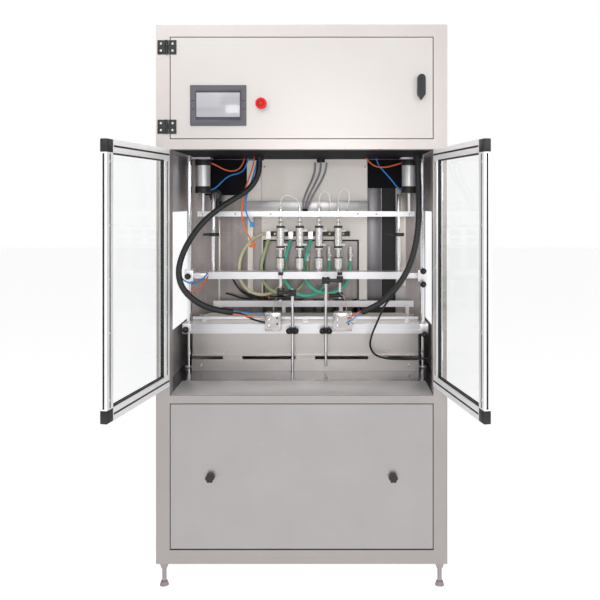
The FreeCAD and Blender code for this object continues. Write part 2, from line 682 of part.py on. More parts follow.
# ---------------------------------------------------------------- pumps and drive
def pump_cylinders():
    """Four open-topped measuring cylinders on foot rings."""
    solids = []
    for i in range(4):
        outer = rod(pump_x(i), PUMP_DEPTH, PUMP_Z[0], PUMP_BORE / 2 + PUMP_WALL, PUMP_Z[1] - PUMP_Z[0])
        bore = rod(pump_x(i), PUMP_DEPTH, PUMP_Z[0] - 1, PUMP_BORE / 2, PUMP_Z[1] - PUMP_Z[0] + 2)
        solids.append(outer.cut(bore))
        stand = rod(pump_x(i), PUMP_DEPTH, TABLE_TOP, PUMP_BORE / 2 + PUMP_WALL, PUMP_Z[0] - TABLE_TOP)
        solids.append(stand.cut(rod(pump_x(i), PUMP_DEPTH, TABLE_TOP - 1, PISTON_ROD + 2, 120)))
    return solids


def valve_bodies():
    """Three-way valve blocks on the pump cylinders, bored for one common spindle."""
    solids = []
    for i in range(4):
        x = pump_x(i)
        block = deep((x - 35, x + 35), (PUMP_DEPTH - 40, PUMP_DEPTH + 40), (PUMP_Z[1], VALVE_Z + 45))
        solids.append(drill(block, [
            rod(x - 36, PUMP_DEPTH, VALVE_Z, SPINDLE_RADIUS + CLEAR, 72, ALONG_X),
            rod(x, PUMP_DEPTH, PUMP_Z[1] - 1, 8, VALVE_Z - PUMP_Z[1]),
            rod(x, PUMP_DEPTH - 41, VALVE_Z, 7, 82, ALONG_Y),
        ]))
    return solids


def valve_spindle():
    """The common spindle with an L-shaped port at each pump."""
    low, high = spindle_ends()
    shaft = rod(low, PUMP_DEPTH, VALVE_Z, SPINDLE_RADIUS, pump_x(3) + 40 - low, ALONG_X)
    ports = []
    for i in range(4):
        ports += [rod(pump_x(i), PUMP_DEPTH, VALVE_Z - 20, 6, 20), rod(pump_x(i), PUMP_DEPTH - 20, VALVE_Z, 6, 20, ALONG_Y)]
    return [fuse([drill(shaft, ports), rod(pump_x(3) + 39, PUMP_DEPTH, VALVE_Z, 8, high - pump_x(3) - 42, ALONG_X)])]


MANIFOLD_Z = 1250


def product_pipework():
    """Outlet elbows, rear inlet spigots and the product manifold on the pump panel."""
    solids = []
    for i in range(4):
        x = pump_x(i)
        solids.append(fuse([
            rod(x, 595, VALVE_Z, 9, PUMP_DEPTH - 40 - 595, ALONG_Y),
            rod(x, 595, VALVE_Z - 38, 9, 62),
            rod(x, 595, VALVE_Z - 16, 12, 12),
        ]))
        solids.append(rod(x, PUMP_DEPTH + 40, VALVE_Z, 9.5, DEPTH - 6 - PUMP_DEPTH - 40, ALONG_Y))
    manifold = deep((-160, 190), (PUMP_PANEL_DEPTH - 22, PUMP_PANEL_DEPTH), (MANIFOLD_Z - 11, MANIFOLD_Z + 11))
    solids.append(manifold)
    for route in hose_routes()[1:]:
        x, depth, z = route[-1]
        solids.append(deep((x - 10, x + 10), (depth - 10, PUMP_PANEL_DEPTH - 22), (z + BLOCK_GAP, MANIFOLD_Z + 11)))
    return solids


def pistons():
    """Pistons on their rods, with a seal ring each."""
    solids = []
    top = PUMP_Z[1] - 6
    low = DRIVE_PLATE_Z + DRIVE_PLATE_THICK
    for i in range(4):
        x = pump_x(i)
        piston = fuse([rod(x, PUMP_DEPTH, top - 30, PUMP_BORE / 2 - CLEAR, 30), rod(x, PUMP_DEPTH, low, PISTON_ROD, top - low - 10)])
        groove = rod(x, PUMP_DEPTH, top - 19, PUMP_BORE / 2 + 1, 8).cut(rod(x, PUMP_DEPTH, top - 19, 22, 8))
        seal = rod(x, PUMP_DEPTH, top - 19, PUMP_BORE / 2 - CLEAR, 8).cut(rod(x, PUMP_DEPTH, top - 19, 22, 8))
        solids += [piston.cut(groove), seal]
    return solids


def drive_plate():
    """The plate that carries all four piston rods, with its ball nut and guide bushes."""
    half = GUIDE_OFFSET + 34
    low, high = DRIVE_PLATE_Z, DRIVE_PLATE_Z + DRIVE_PLATE_THICK
    plate = fuse([
        deep((PUMP_CENTRE - half, PUMP_CENTRE + half), (PUMP_DEPTH - 45, PUMP_DEPTH + 45), (low, high)),
        rod(PUMP_CENTRE, PUMP_DEPTH, low - 45, 26, 46),
        rod(PUMP_CENTRE - GUIDE_OFFSET, PUMP_DEPTH, low - 30, 22, 31),
        rod(PUMP_CENTRE + GUIDE_OFFSET, PUMP_DEPTH, low - 30, 22, 31),
    ])
    bores = [rod(PUMP_CENTRE, PUMP_DEPTH, low - 50, SCREW_RADIUS + CLEAR, 100)]
    for side in (-1, 1):
        bores.append(rod(PUMP_CENTRE + side * GUIDE_OFFSET, PUMP_DEPTH, low - 50, GUIDE_RADIUS + CLEAR, 100))
    return [drill(plate, bores)]


def ball_screw():
    """The screw with its journals."""
    z = (BASE_PLATE_Z - 40, TABLE_TOP - 20)
    return [rod(PUMP_CENTRE, PUMP_DEPTH, z[0], SCREW_RADIUS, z[1] - z[0])]


def drive_guides():
    """Guide rods, base plate and both screw bearings, hung under the pump deck."""
    deck = TABLE_TOP - 10
    base = deep((PUMP_CENTRE - 220, PUMP_CENTRE + 220), (PUMP_DEPTH - 50, PUMP_DEPTH + 50), (BASE_PLATE_Z, BASE_PLATE_Z + 20))
    bore = rod(PUMP_CENTRE, PUMP_DEPTH, BASE_PLATE_Z - 10, SCREW_RADIUS + CLEAR, 60)
    base = fuse([base, rod(PUMP_CENTRE, PUMP_DEPTH, BASE_PLATE_Z + 19, 24, 16)]).cut(bore)
    top = rod(PUMP_CENTRE, PUMP_DEPTH, deck - 36, 26, 36)
    top = top.cut(rod(PUMP_CENTRE, PUMP_DEPTH, deck - 40, SCREW_RADIUS + CLEAR, 32))
    rods = [rod(PUMP_CENTRE + side * GUIDE_OFFSET, PUMP_DEPTH, BASE_PLATE_Z + 20, GUIDE_RADIUS, deck - BASE_PLATE_Z - 20)
            for side in (-1, 1)]
    return [base, top] + rods


def servo_motor():
    """The servo motor under the base plate; its flange is the coupling housing."""
    low = BASE_PLATE_Z - 50
    housing = deep((PUMP_CENTRE - 35, PUMP_CENTRE + 35), (PUMP_DEPTH - 35, PUMP_DEPTH + 35), (low, BASE_PLATE_Z))
    housing = housing.cut(rod(PUMP_CENTRE, PUMP_DEPTH, low + 8, SCREW_RADIUS + CLEAR + 6, 60))
    motor = deep((PUMP_CENTRE - 40, PUMP_CENTRE + 40), (PUMP_DEPTH - 40, PUMP_DEPTH + 40), (low - 120, low))
    plug = deep((PUMP_CENTRE - 20, PUMP_CENTRE + 20), (PUMP_DEPTH - 62, PUMP_DEPTH - 40), (low - 100, low - 60))
    return [housing, fuse([motor, plug])]


# ---------------------------------------------------------------- stand rods and stoppers
SENSOR_RODS = ((-105, 445, 976), (143, 445, 985))


def stand_rods():
    """Two long rods on the stopper bar and two short ones under the nozzle bar's front."""
    solids = [rod(x, STAND_DEPTH, z[0], STAND_RADIUS, z[1] - z[0]) for x, z in zip(STAND_X, STAND_Z)]
    for x, depth, low in SENSOR_RODS:
        solids.append(rod(x, depth, low, 6, NOZZLE_BAR_Z + NOZZLE_BAR_TALL - low))
    return solids


def stand_clamps():
    """Knob clamps on the stopper bar, cross clamps between rods and their bridge bars."""
    solids = []
    for (x, z), (sensor_x, sensor_depth, _) in zip(zip(STAND_X, STAND_Z), SENSOR_RODS):
        hole = rod(x, STAND_DEPTH, 800, STAND_RADIUS, 400)
        block = deep((x - 14, x + 14), (STAND_DEPTH - 12, STOPPER_BAR_DEPTH[0]), (850, 876))
        wings = [Part.makeSphere(12, V(x + side * 14.5, at(STAND_DEPTH - 16), 862)) for side in (-1, 1)]
        solids.append(fuse([block] + wings).cut(hole))
        top = z[1] - 22
        side = 1 if sensor_x > x else -1
        cross = deep((x - 16, x + 16), (STAND_DEPTH - 13, STAND_DEPTH + 13), (top - 8, top + 18)).cut(hole)
        bridge = deep(sorted((x, sensor_x)), (STAND_DEPTH + 13, STAND_DEPTH + 23), (top, top + 10))
        far = deep((sensor_x - 13, sensor_x + 13), (STAND_DEPTH + 13, sensor_depth + 13), (top - 6, top + 16))
        far = far.cut(rod(sensor_x, sensor_depth, top - 30, 6, 80))
        lever = fuse([rod(x, STAND_DEPTH - 25, top + 5, 8, 12, ALONG_Y),
                      deep(sorted((x, x + side * 52)), (STAND_DEPTH - 32, STAND_DEPTH - 24), (top + 1, top + 9))])
        solids += [fuse([cross, bridge.cut(far)]), far, lever]
    for sensor_x, depth, _ in SENSOR_RODS:
        holder = deep((sensor_x - 10, sensor_x + 10), (depth - 9, NOZZLE_BAR_DEPTH[0]), (NOZZLE_BAR_Z + 18, NOZZLE_BAR_Z + 30))
        solids.append(holder.cut(rod(sensor_x, depth, NOZZLE_BAR_Z, 6, 60)))
    return solids


def bottle_sensors():
    """A photoelectric sensor in its clamp at the foot of each short rod."""
    solids = []
    for x, depth, low in SENSOR_RODS:
        clamp = deep((x - 12, x + 12), (depth - 13, depth + 12), (low + 6, low + 26)).cut(rod(x, depth, low, 6, 40))
        body = rod(x - 46, depth - 21, low + 15, 8, 60, ALONG_X)
        solids += [clamp.cut(body), body]
    return solids


def stopper_cylinders():
    """Guided air cylinders that push the bottle stops over the belt."""
    solids = []
    for (low, high) in STOPPER_X:
        middle = (low + high) / 2
        body = deep((low, high), (335, STOPPER_BAR_DEPTH[0]), (868, 940))
        side = deep((low + 8, high - 8), (321, 335), (880, 928))
        bore = rod(middle, 328, STOPPER_PIN_Z, 6 + CLEAR, 80, ALONG_Y)
        solids.append(fuse([body, side]).cut(bore))
    return solids


def stopper_pin(index):
    """A stop pin with its rubber-tipped end."""
    middle = sum(STOPPER_X[index]) / 2
    return [fuse([rod(middle, 345, STOPPER_PIN_Z, 6, 66, ALONG_Y), rod(middle, 395, STOPPER_PIN_Z, 8, 14, ALONG_Y)])]


# ---------------------------------------------------------------- hoses and cables
# Routes as (x, depth, z); the same points serve the finished hoses.
FIRST_HOSE = (
    (-91, 595, 1131), (-91, 594, 1096), (-95, 592, 1056), (-121, 586, 1011), (-166, 576, 986),
    (-219, 563, 986), (-264, 554, 1013), (-290, 552, 1059), (-294, 556, 1111), (-284, 568, 1163),
    (-259, 586, 1209), (-220, 602, 1240), (-188, 609, 1250), (-160, 609, 1250),
)
HOSE_LOOP = (   # x from the pump's axis
    (0, 595, 1131), (0, 594, 1098), (-3, 592, 1058), (-28, 586, 1013), (-73, 576, 988),
    (-125, 563, 988), (-170, 552, 1014), (-197, 546, 1060), (-200, 547, 1110), (-191, 555, 1156),
    (-178, 569, 1196), (-170, 578, 1226),
)
HOSE_DROPS = (1.0, 1.05, 0.97)   # how far each of the other three loops hangs, as a share
HOSE_SPREADS = (1.0, 0.98, 1.02)
HOSE_SIZE = 15
BLOCK_GAP = 2.6       # manifold block above the slanting hose end
LEFT_CONDUIT = (
    (-190, 400, 1561.7), (-190, 400, 1536), (-196, 399, 1500), (-214, 396, 1464), (-246, 391, 1431),
    (-290, 383, 1404), (-338, 373, 1374), (-386, 360, 1336), (-428, 342, 1292), (-462, 318, 1240),
    (-486, 290, 1184), (-498, 264, 1126), (-490, 250, 1072), (-460, 250, 1024), (-410, 264, 984),
    (-350, 286, 958), (-290, 304, 948),
)
RIGHT_CONDUIT = (
    (454, 300, 1561.7), (454, 300, 1505), (457, 292, 1430), (456, 276, 1350), (449, 262, 1270),
    (434, 254, 1190), (408, 254, 1118), (370, 262, 1056), (322, 276, 1004), (276, 288, 970), (232, 298, 950),
)
CONDUIT_SIZE = 24
LEFT_LEAD = (
    (-291.2, 308.9, 947.9), (-266.6, 316.3, 943.8), (-238, 328, 930), (-212, 343, 914), (-187, 354, 903),
    (-161, 358, 899),
)
BRANCH_LEAD = (
    (352.2, 279.6, 1017.1), (325.6, 287.4, 988.3), (306, 300, 945), (288, 316, 898), (270, 330, 852),
    (262, 342, 806), (282, 354, 766), (330, 364, 750), (384, 370, 746), (440, 374, 745), (490, 375, 748),
    (522.6, 375, 749),
)
LEAD_SIZE = 8
BUNDLE = (
    (62, 560, 1561.7), (62, 560, 1530), (46, 553, 1488), (26, 541, 1448), (8, 529, 1412), (-2, 520, 1378),
    (-5, 517, 1352),
)
BUNDLE_SIZE = 18
DROP_LINES = (
    ((-212, 420, 1578.7), (-216, 420, 1545), (-236, 424, 1488), (-258, 432, 1430), (-268, 440, 1372),
     (-268, 446, 1316), (-252, 456, 1262), (-226, 480, 1218)),
    ((-200, 426, 1578.7), (-204, 426, 1545), (-222, 430, 1488), (-242, 438, 1432), (-254, 444, 1380),
     (-248, 448, 1330), (-226, 454, 1296)),
)
CYLINDER_LINES = (
    ((-405.9, 500, 1556), (-385, 500, 1548), (-352, 506, 1528), (-312, 516, 1520), (-276, 524, 1540),
     (-266, 526, 1578.7)),
    ((-405.9, 500, 1442), (-386, 500, 1448), (-362, 506, 1476), (-330, 512, 1504), (-290, 520, 1512),
     (-262, 526, 1532), (-250, 528, 1578.7)),
    ((405.9, 500, 1556), (380, 500, 1548), (330, 504, 1536), (280, 508, 1546), (256, 510, 1578.7)),
    ((405, 500, 1442), (390, 506, 1451), (368, 510, 1482), (336, 516, 1518), (308, 520, 1550), (300, 522, 1578.7)),
)
STOPPER_LINES = (
    ((-287.8, 300.5, 952.9), (-263.2, 307.9, 948.8), (-234, 318, 944), (-208, 331, 939), (-184, 343, 935),
     (-161, 348, 933)),
    ((-289.3, 300, 943), (-264.7, 307.4, 938.9), (-236, 317, 930), (-210, 329, 924), (-185, 341, 920),
     (-161, 347, 918)),
    ((229.8, 298.5, 954.5), (217.3, 301.3, 948.8), (200, 303, 938), (186, 306, 928), (176, 312, 920),
     (172, 319.3, 917)),
    ((233.7, 297.6, 945.3), (221.2, 300.4, 939.6), (206, 303, 929), (190, 306, 917), (176, 312, 907),
     (168, 319.3, 902)),
)
STOPPER_LINE_SIZE = 4
LINE_SIZE = 6
LOOPS = (
    ((-109, 500, 1378.3), (-109, 500, 1396), (-101, 502, 1411), (-85, 505, 1419), (-66, 508, 1417),
     (-48, 511, 1408), (-34, 512, 1392), (-28, 512, 1372), (-27, 512, 1351)),
    ((55, 500, 1378.3), (55, 500, 1400), (59, 501, 1420), (71, 504, 1434), (88, 507, 1434),
     (99, 509, 1419), (102, 510, 1399), (102, 511, 1374), (102, 511, 1351)),
    ((137, 500, 1378.3), (137, 500, 1402), (141, 501, 1424), (151, 503, 1441), (167, 505, 1446),
     (181, 508, 1436), (186, 510, 1417), (183, 510, 1394), (176, 511, 1372), (174, 511, 1351)),
)
LOOP_SIZE = 4


def hose_routes():
    """The first hose runs to the manifold's end, the others loop up into its underside."""
    routes = [FIRST_HOSE]
    top = HOSE_LOOP[0][2]
    for index, (drop, spread) in enumerate(zip(HOSE_DROPS, HOSE_SPREADS), 1):
        routes.append([(pump_x(index) + x * spread, depth, top - (top - z) * (drop if z < top else 1))
                       for x, depth, z in HOSE_LOOP])
    return routes


def cord(route, size, name):
    """A round tube of straight runs joined by tangent arcs, with its smallest radius printed."""
    points = [V(x, at(d), z) for x, d, z in route]
    edges, start, radii = [], points[0], []
    length = 0.0
    for before, corner, after in zip(points, points[1:], points[2:]):
        back, ahead = (before - corner), (after - corner)
        turn = math.pi - back.getAngle(ahead)
        trim = 0.45 * min(back.Length, ahead.Length)
        radius = trim / math.tan(turn / 2)
        radii.append(radius)
        back.normalize()
        ahead.normalize()
        first, last = corner + back * trim, corner + ahead * trim
        inward = (back + ahead)
        inward.normalize()
        middle = corner + inward * (radius / math.cos(turn / 2) - radius)
        edges += [Part.LineSegment(start, first).toShape(), Part.Arc(first, middle, last).toShape()]
        start = last
    edges.append(Part.LineSegment(start, points[-1]).toShape())
    wire = Part.Wire(edges)
    profile = Part.Wire([Part.Circle(points[0], points[1] - points[0], size / 2).toShape()])
    solid = wire.makePipeShell([profile], True, True)
    expected = math.pi * size ** 2 / 4 * wire.Length
    print("%s: length %.0f, least radius %.0f (%.1f diameters), volume ratio %.4f, valid %s" % (
        name, wire.Length, min(radii), min(radii) / size, abs(solid.Volume) / expected, solid.isValid()))
    return solid


def cords(routes, size, name):
    """A group of alike tubes."""
    return [cord(route, size, name) for route in routes]


def main():
    """Write every node of the machine."""
    os.makedirs("parts", exist_ok=True)
    save("main_frame", corner_posts() + frame_rails() + mullions())
    save("side_panels", side_sheets())
    save("rear_panels", rear_sheets())
    save("cabinet_decks", cabinet_decks())
    save("table_top", table_sheets())
    save("pump_cover_panel", pump_panel())
    save("electrical_panel", electrical_panel())
    save("pneumatic_units", pneumatic_units())
    save("cable_glands", cable_glands())
    save("hinge_fixed_leaves", hinge_leaves_fixed())
    save("levelling_feet", levelling_feet())
    save("conveyor_frame", conveyor_frame())
    save("conveyor_guide_rails", guide_rails())
    save("conveyor_belt", conveyor_belt())
    save("conveyor_gearmotor", gearmotor())
    save("lift_columns", lift_columns())
    save("column_clamps", column_clamps())
    save("cross_bars", cross_bars())
    save("lift_guides", lift_guides())
    save("lift_cylinders", lift_cylinders())
    save("pump_cylinders", pump_cylinders())
    save("valve_bodies", valve_bodies())
    save("product_pipework", product_pipework())
    save("drive_guides", drive_guides())
    save("servo_motor", servo_motor())
    save("stand_rods", stand_rods())
    save("stand_clamps", stand_clamps())
    save("bottle_sensors", bottle_sensors())
    save("stopper_cylinders", stopper_cylinders())
    save("access_panel", access_panel())
    save("left_panel_knob", star_knob(-MULLION_X))
    save("right_panel_knob", star_knob(MULLION_X))
    save("control_door", control_door())
    save("control_door_fittings", control_door_fittings())
    save("touch_screen", touch_screen())
    save("estop_button", estop_button())
    save("latch_handle", latch_handle())
    for name, shapes in zip(("frame", "glass", "fittings"), window_door()):
        save("left_window_" + name, shapes)
        save("right_window_" + name, [mirror_x(s) for s in shapes])
    save("lift_bar", lift_bar())
    save("head_actuators", head_actuators())
    save("head_valves", head_valves())
    save("pistons", pistons())
    save("drive_plate", drive_plate())
    save("ball_screw", ball_screw())
    save("valve_spindle", valve_spindle())
    save("left_stopper_pin", stopper_pin(0))
    save("right_stopper_pin", stopper_pin(1))
    save("drive_roller", roller(1))
    save("idler_roller", roller(-1))
    save("left_conduit", [cord(LEFT_CONDUIT, CONDUIT_SIZE, "left conduit")])
    save("right_conduit", [cord(RIGHT_CONDUIT, CONDUIT_SIZE, "right conduit")])
    save("product_hoses", cords(hose_routes(), HOSE_SIZE, "product hose"))
    save("head_air_bundle", [cord(BUNDLE, BUNDLE_SIZE, "air bundle")])
    save("head_air_loops", cords(LOOPS, LOOP_SIZE, "head loop"))
    lines = cords(DROP_LINES + CYLINDER_LINES, LINE_SIZE, "air line")
    lines += cords(STOPPER_LINES, STOPPER_LINE_SIZE, "stopper line")
    leads = cords((LEFT_LEAD, BRANCH_LEAD), LEAD_SIZE, "lead")
    save("air_tubes", lines + leads)
    print("front plane y %.3f" % FRONT)


main()
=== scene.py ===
"""Visual model of a piston liquid filler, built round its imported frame."""

import logging
import math
from dataclasses import dataclass, field
from enum import Enum

import bpy
from mathutils import Matrix, Vector

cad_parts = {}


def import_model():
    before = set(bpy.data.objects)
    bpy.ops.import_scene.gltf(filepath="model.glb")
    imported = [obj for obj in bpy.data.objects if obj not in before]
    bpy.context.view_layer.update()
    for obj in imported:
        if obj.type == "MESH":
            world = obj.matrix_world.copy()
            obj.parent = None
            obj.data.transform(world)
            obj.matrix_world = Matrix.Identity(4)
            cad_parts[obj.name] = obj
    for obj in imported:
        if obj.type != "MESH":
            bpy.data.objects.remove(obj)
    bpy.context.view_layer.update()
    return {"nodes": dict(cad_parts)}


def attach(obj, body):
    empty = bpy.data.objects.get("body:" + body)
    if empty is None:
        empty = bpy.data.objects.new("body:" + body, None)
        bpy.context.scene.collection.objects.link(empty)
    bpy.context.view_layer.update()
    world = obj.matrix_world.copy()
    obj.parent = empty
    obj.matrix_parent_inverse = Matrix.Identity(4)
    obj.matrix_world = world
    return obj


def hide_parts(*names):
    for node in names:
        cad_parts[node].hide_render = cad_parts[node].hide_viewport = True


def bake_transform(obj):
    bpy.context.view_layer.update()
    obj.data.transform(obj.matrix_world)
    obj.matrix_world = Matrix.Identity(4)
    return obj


LOG = logging.getLogger("filler")

FRONT = -207.0          # y of the posts' front faces, in millimetres
DOOR_OPEN = 100.5       # degrees from closed, at rest
HINGE_Z = (820, 1393)
HINGE_TALL = 104
CONTROL_HINGE_Z = (1635, 1921)
CONTROL_HINGE_TALL = 51
CONTROL_PIN = (-485, -6)
WINDOW_PIN = (480, -14)
KNUCKLE_RADIUS = 4.4
PIN_RADIUS = 2.5
TABLE = 694
CHAMBER_Z = (696, 1578)
LINER_DEPTH = (636, 639.5)
LIFT_CYLINDER_X = 440
LIFT_GUIDE_X = 395
HEAD_DEPTH = 500
HEAD_X = (-109, -27, 55, 137)
PUMP_X = (-91, 3, 97, 191)
BELT_TOP = 908
SMOOTH_ANGLE = 35       # edges blunter than this are shaded smooth
CLOUD_SCALE = 5.0       # wide wear, in cells per metre
SPECK_SCALE = 90.0
SPECK_SHARE = 0.68
BUMP_HEIGHT = 0.0006
ROOM_MIDDLE, ROOM_CONTRAST = 0.42, 4.5
ROOM_DARK, ROOM_LIGHT = (0.10, 0.10, 0.11, 1), (1.0, 0.98, 0.97, 1)
# Painted shade: between these heights a finish whose low is under 1 is painted darker towards the floor.
LIT_ABOVE, SHADED_BELOW = 1.6, 0.5     # between these heights a low finish darkens

# Routes as (x, depth, z) in millimetres.
FIRST_HOSE = (
    (-91, 595, 1131), (-91, 594, 1096), (-95, 592, 1056), (-121, 586, 1011), (-166, 576, 986),
    (-219, 563, 986), (-264, 554, 1013), (-290, 552, 1059), (-294, 556, 1111), (-284, 568, 1163),
    (-259, 586, 1209), (-220, 602, 1240), (-188, 609, 1250), (-160, 609, 1250),
)
HOSE_LOOP = (
    (0, 595, 1131), (0, 594, 1098), (-3, 592, 1058), (-28, 586, 1013), (-73, 576, 988),
    (-125, 563, 988), (-170, 552, 1014), (-197, 546, 1060), (-200, 547, 1110), (-191, 555, 1156),
    (-178, 569, 1196), (-170, 578, 1226),
)
HOSE_DROPS = (1.0, 1.05, 0.97)
HOSE_SPREADS = (1.0, 0.98, 1.02)
LEFT_CONDUIT = (
    (-190, 400, 1561.7), (-190, 400, 1536), (-196, 399, 1500), (-214, 396, 1464), (-246, 391, 1431),
    (-290, 383, 1404), (-338, 373, 1374), (-386, 360, 1336), (-428, 342, 1292), (-462, 318, 1240),
    (-486, 290, 1184), (-498, 264, 1126), (-490, 250, 1072), (-460, 250, 1024), (-410, 264, 984),
    (-350, 286, 958), (-290, 304, 948),
)
RIGHT_CONDUIT = (
    (454, 300, 1561.7), (454, 300, 1505), (457, 292, 1430), (456, 276, 1350), (449, 262, 1270),
    (434, 254, 1190), (408, 254, 1118), (370, 262, 1056), (322, 276, 1004), (276, 288, 970), (232, 298, 950),
)
LEFT_LEAD = (
    (-291.2, 308.9, 947.9), (-266.6, 316.3, 943.8), (-238, 328, 930), (-212, 343, 914), (-187, 354, 903),
    (-161, 358, 899),
)
BRANCH_LEAD = (
    (352.2, 279.6, 1017.1), (325.6, 287.4, 988.3), (306, 300, 945), (288, 316, 898), (270, 330, 852),
    (262, 342, 806), (282, 354, 766), (330, 364, 750), (384, 370, 746), (440, 374, 745), (490, 375, 748),
    (522.6, 375, 749),
)
BUNDLE = (
    (62, 560, 1561.7), (62, 560, 1530), (46, 553, 1488), (26, 541, 1448), (8, 529, 1412), (-2, 520, 1378),
    (-5, 517, 1352),
)
STRANDS = ((-20, -3), (0, 3), (20, -3))     # how far each tube of the bundle stands across and back
STRAND_SIZE = 9
AIR_SIZE = 6
SMALL_SIZE = 4
HOSE_SIZE = 15
CONDUIT_SIZE = 24
DROP_LINES = (
    ((-212, 420, 1578.7), (-216, 420, 1545), (-236, 424, 1488), (-258, 432, 1430), (-268, 440, 1372),
     (-268, 446, 1316), (-252, 456, 1262), (-226, 480, 1218)),
    ((-200, 426, 1578.7), (-204, 426, 1545), (-222, 430, 1488), (-242, 438, 1432), (-254, 444, 1380),
     (-248, 448, 1330), (-226, 454, 1296)),
)
CYLINDER_LINES = (
    ((-405.9, 500, 1556), (-385, 500, 1548), (-352, 506, 1528), (-312, 516, 1520), (-276, 524, 1540),
     (-266, 526, 1578.7)),
    ((-405.9, 500, 1442), (-386, 500, 1448), (-362, 506, 1476), (-330, 512, 1504), (-290, 520, 1512),
     (-262, 526, 1532), (-250, 528, 1578.7)),
    ((405.9, 500, 1556), (380, 500, 1548), (330, 504, 1536), (280, 508, 1546), (256, 510, 1578.7)),
    ((405, 500, 1442), (390, 506, 1451), (368, 510, 1482), (336, 516, 1518), (308, 520, 1550),
     (300, 522, 1578.7)),
)
STOPPER_LINES = (
    ((-287.8, 300.5, 952.9), (-263.2, 307.9, 948.8), (-234, 318, 944), (-208, 331, 939), (-184, 343, 935),
     (-161, 348, 933)),
    ((-289.3, 300, 943), (-264.7, 307.4, 938.9), (-236, 317, 930), (-210, 329, 924), (-185, 341, 920),
     (-161, 347, 918)),
    ((229.8, 298.5, 954.5), (217.3, 301.3, 948.8), (200, 303, 938), (186, 306, 928), (176, 312, 920),
     (172, 319.3, 917)),
    ((233.7, 297.6, 945.3), (221.2, 300.4, 939.6), (206, 303, 929), (190, 306, 917), (176, 312, 907),
     (168, 319.3, 902)),
)
LOOPS = (
    ((-109, 500, 1378.3), (-109, 500, 1396), (-101, 502, 1411), (-85, 505, 1419), (-66, 508, 1417),
     (-48, 511, 1408), (-34, 512, 1392), (-28, 512, 1372), (-27, 512, 1351)),
    ((55, 500, 1378.3), (55, 500, 1400), (59, 501, 1420), (71, 504, 1434), (88, 507, 1434),
     (99, 509, 1419), (102, 510, 1399), (102, 511, 1374), (102, 511, 1351)),
    ((137, 500, 1378.3), (137, 500, 1402), (141, 501, 1424), (151, 503, 1441), (167, 505, 1446),
     (181, 508, 1436), (186, 510, 1417), (183, 510, 1394), (176, 511, 1372), (174, 511, 1351)),
)
BAR_LINES = (
    ((-486, 256, 1122), (-490, 272, 1096), (-482, 298, 1074), (-462, 334, 1060), (-437, 374, 1062),
     (-418, 410, 1077),
     (-410, 434, 1092)),
    ((-470, 262, 1050), (-464, 280, 1036), (-450, 306, 1028), (-434, 338, 1034), (-421, 372, 1048),
     (-413, 406, 1064),
     (-409, 434, 1079)),
)
FLOOR_CABLES = (
    ((-330, 628, 1050), (-316, 620, 1020), (-288, 612, 996), (-248, 604, 980), (-200, 598, 972),
     (-150, 597, 966),
     (-100, 598, 962), (-52, 604, 964)),
    ((-300, 628, 1000), (-282, 618, 986), (-250, 608, 972), (-208, 600, 964), (-164, 596, 963),
     (-118, 598, 970),
     (-74, 604, 982)),
    ((-360, 628, 984), (-334, 618, 980), (-300, 610, 968), (-262, 604, 963), (-220, 602, 968), (-180, 602, 980),
     (-142, 606, 994)),
)
SENSOR_WIRES = (
    ((143, 424, 1008), (152, 408, 1006), (162, 392, 994), (168, 376, 976), (170, 362, 958), (168, 352, 946)),
    ((-118, 424, 992), (-124, 408, 985), (-128, 392, 972), (-129, 376, 960), (-128, 362, 950),
     (-128, 352, 945)),
)


class Axis(Enum):
    """The direction that a round piece runs along."""

    X = (0.0, math.pi / 2, 0.0)
    Y = (-math.pi / 2, 0.0, 0.0)
    Z = (0.0, 0.0, 0.0)


class Surface(Enum):
    """How a finish's fine grain is laid, as cells per metre along x, y and z."""

    BRUSHED_X = (3.0, 420.0, 420.0)
    BRUSHED_Y = (420.0, 3.0, 420.0)
    BRUSHED_Z = (420.0, 420.0, 3.0)
    BLASTED = (700.0, 700.0, 700.0)
    MOULDED = (1100.0, 1100.0, 1100.0)
    TURNED = (30.0, 30.0, 2600.0)
    WOVEN = (320.0, 900.0, 320.0)
    STREAKED = (38.0, 38.0, 0.8)


@dataclass(frozen=True)
class Finish:
    """One finish of the machine.

    Attributes:
        name: The material's name.
        colour: Linear base colour.
        surface: How its grain is laid.
        metallic: 1 for bare metal.
        roughness: Middle roughness.
        grain: How much the grain changes the roughness.
        wear_and_sheen: How much colour the wear takes or adds; on the rear-wall liners it paints vertical
            streaks of reflection.
        bump: Bump strength of the grain.
        coat: Clear coat weight.
        transmission: Share of light let through.
        glow: Emission strength; on the screen, white paint, clear tubes and window profiles it is painted light,
            and on the floor it keeps the floor evenly white.
        ior: Index of refraction.
        specular: Level of the plain reflection.
        low: How much of its colour is left near the floor; this darkening is painted shade, for lower parts that
            get less light.
        slot: The record's material slot.
    """

    name: str
    colour: tuple[float, float, float]
    surface: Surface = Surface.MOULDED
    metallic: float = 0.0
    roughness: float = 0.5
    grain: float = 0.1
    wear_and_sheen: float = 0.1
    bump: float = 0.1
    coat: float = 0.0
    transmission: float = 0.0
    glow: float = 0.0
    ior: float = 1.45
    specular: float = 0.5
    low: float = 1.0
    slot: str = "stainless"


def moulded(name: str, colour: tuple[float, float, float], roughness: float, grain: float, wear_and_sheen: float,
            bump: float, **more) -> Finish:
    """A finish of moulded plastic, rubber or glass.

    Args:
        name: The material's name.
        colour: Linear base colour.
        roughness: Middle roughness.
        grain: How much the grain changes the roughness.
        wear_and_sheen: How much colour the wear takes or adds.
        bump: Bump strength of the grain.
        more: Other values of the finish.

    Returns:
        The finish.
    """
    return Finish(name, colour, Surface.MOULDED, 0.0, roughness, grain, wear_and_sheen, bump, **more)


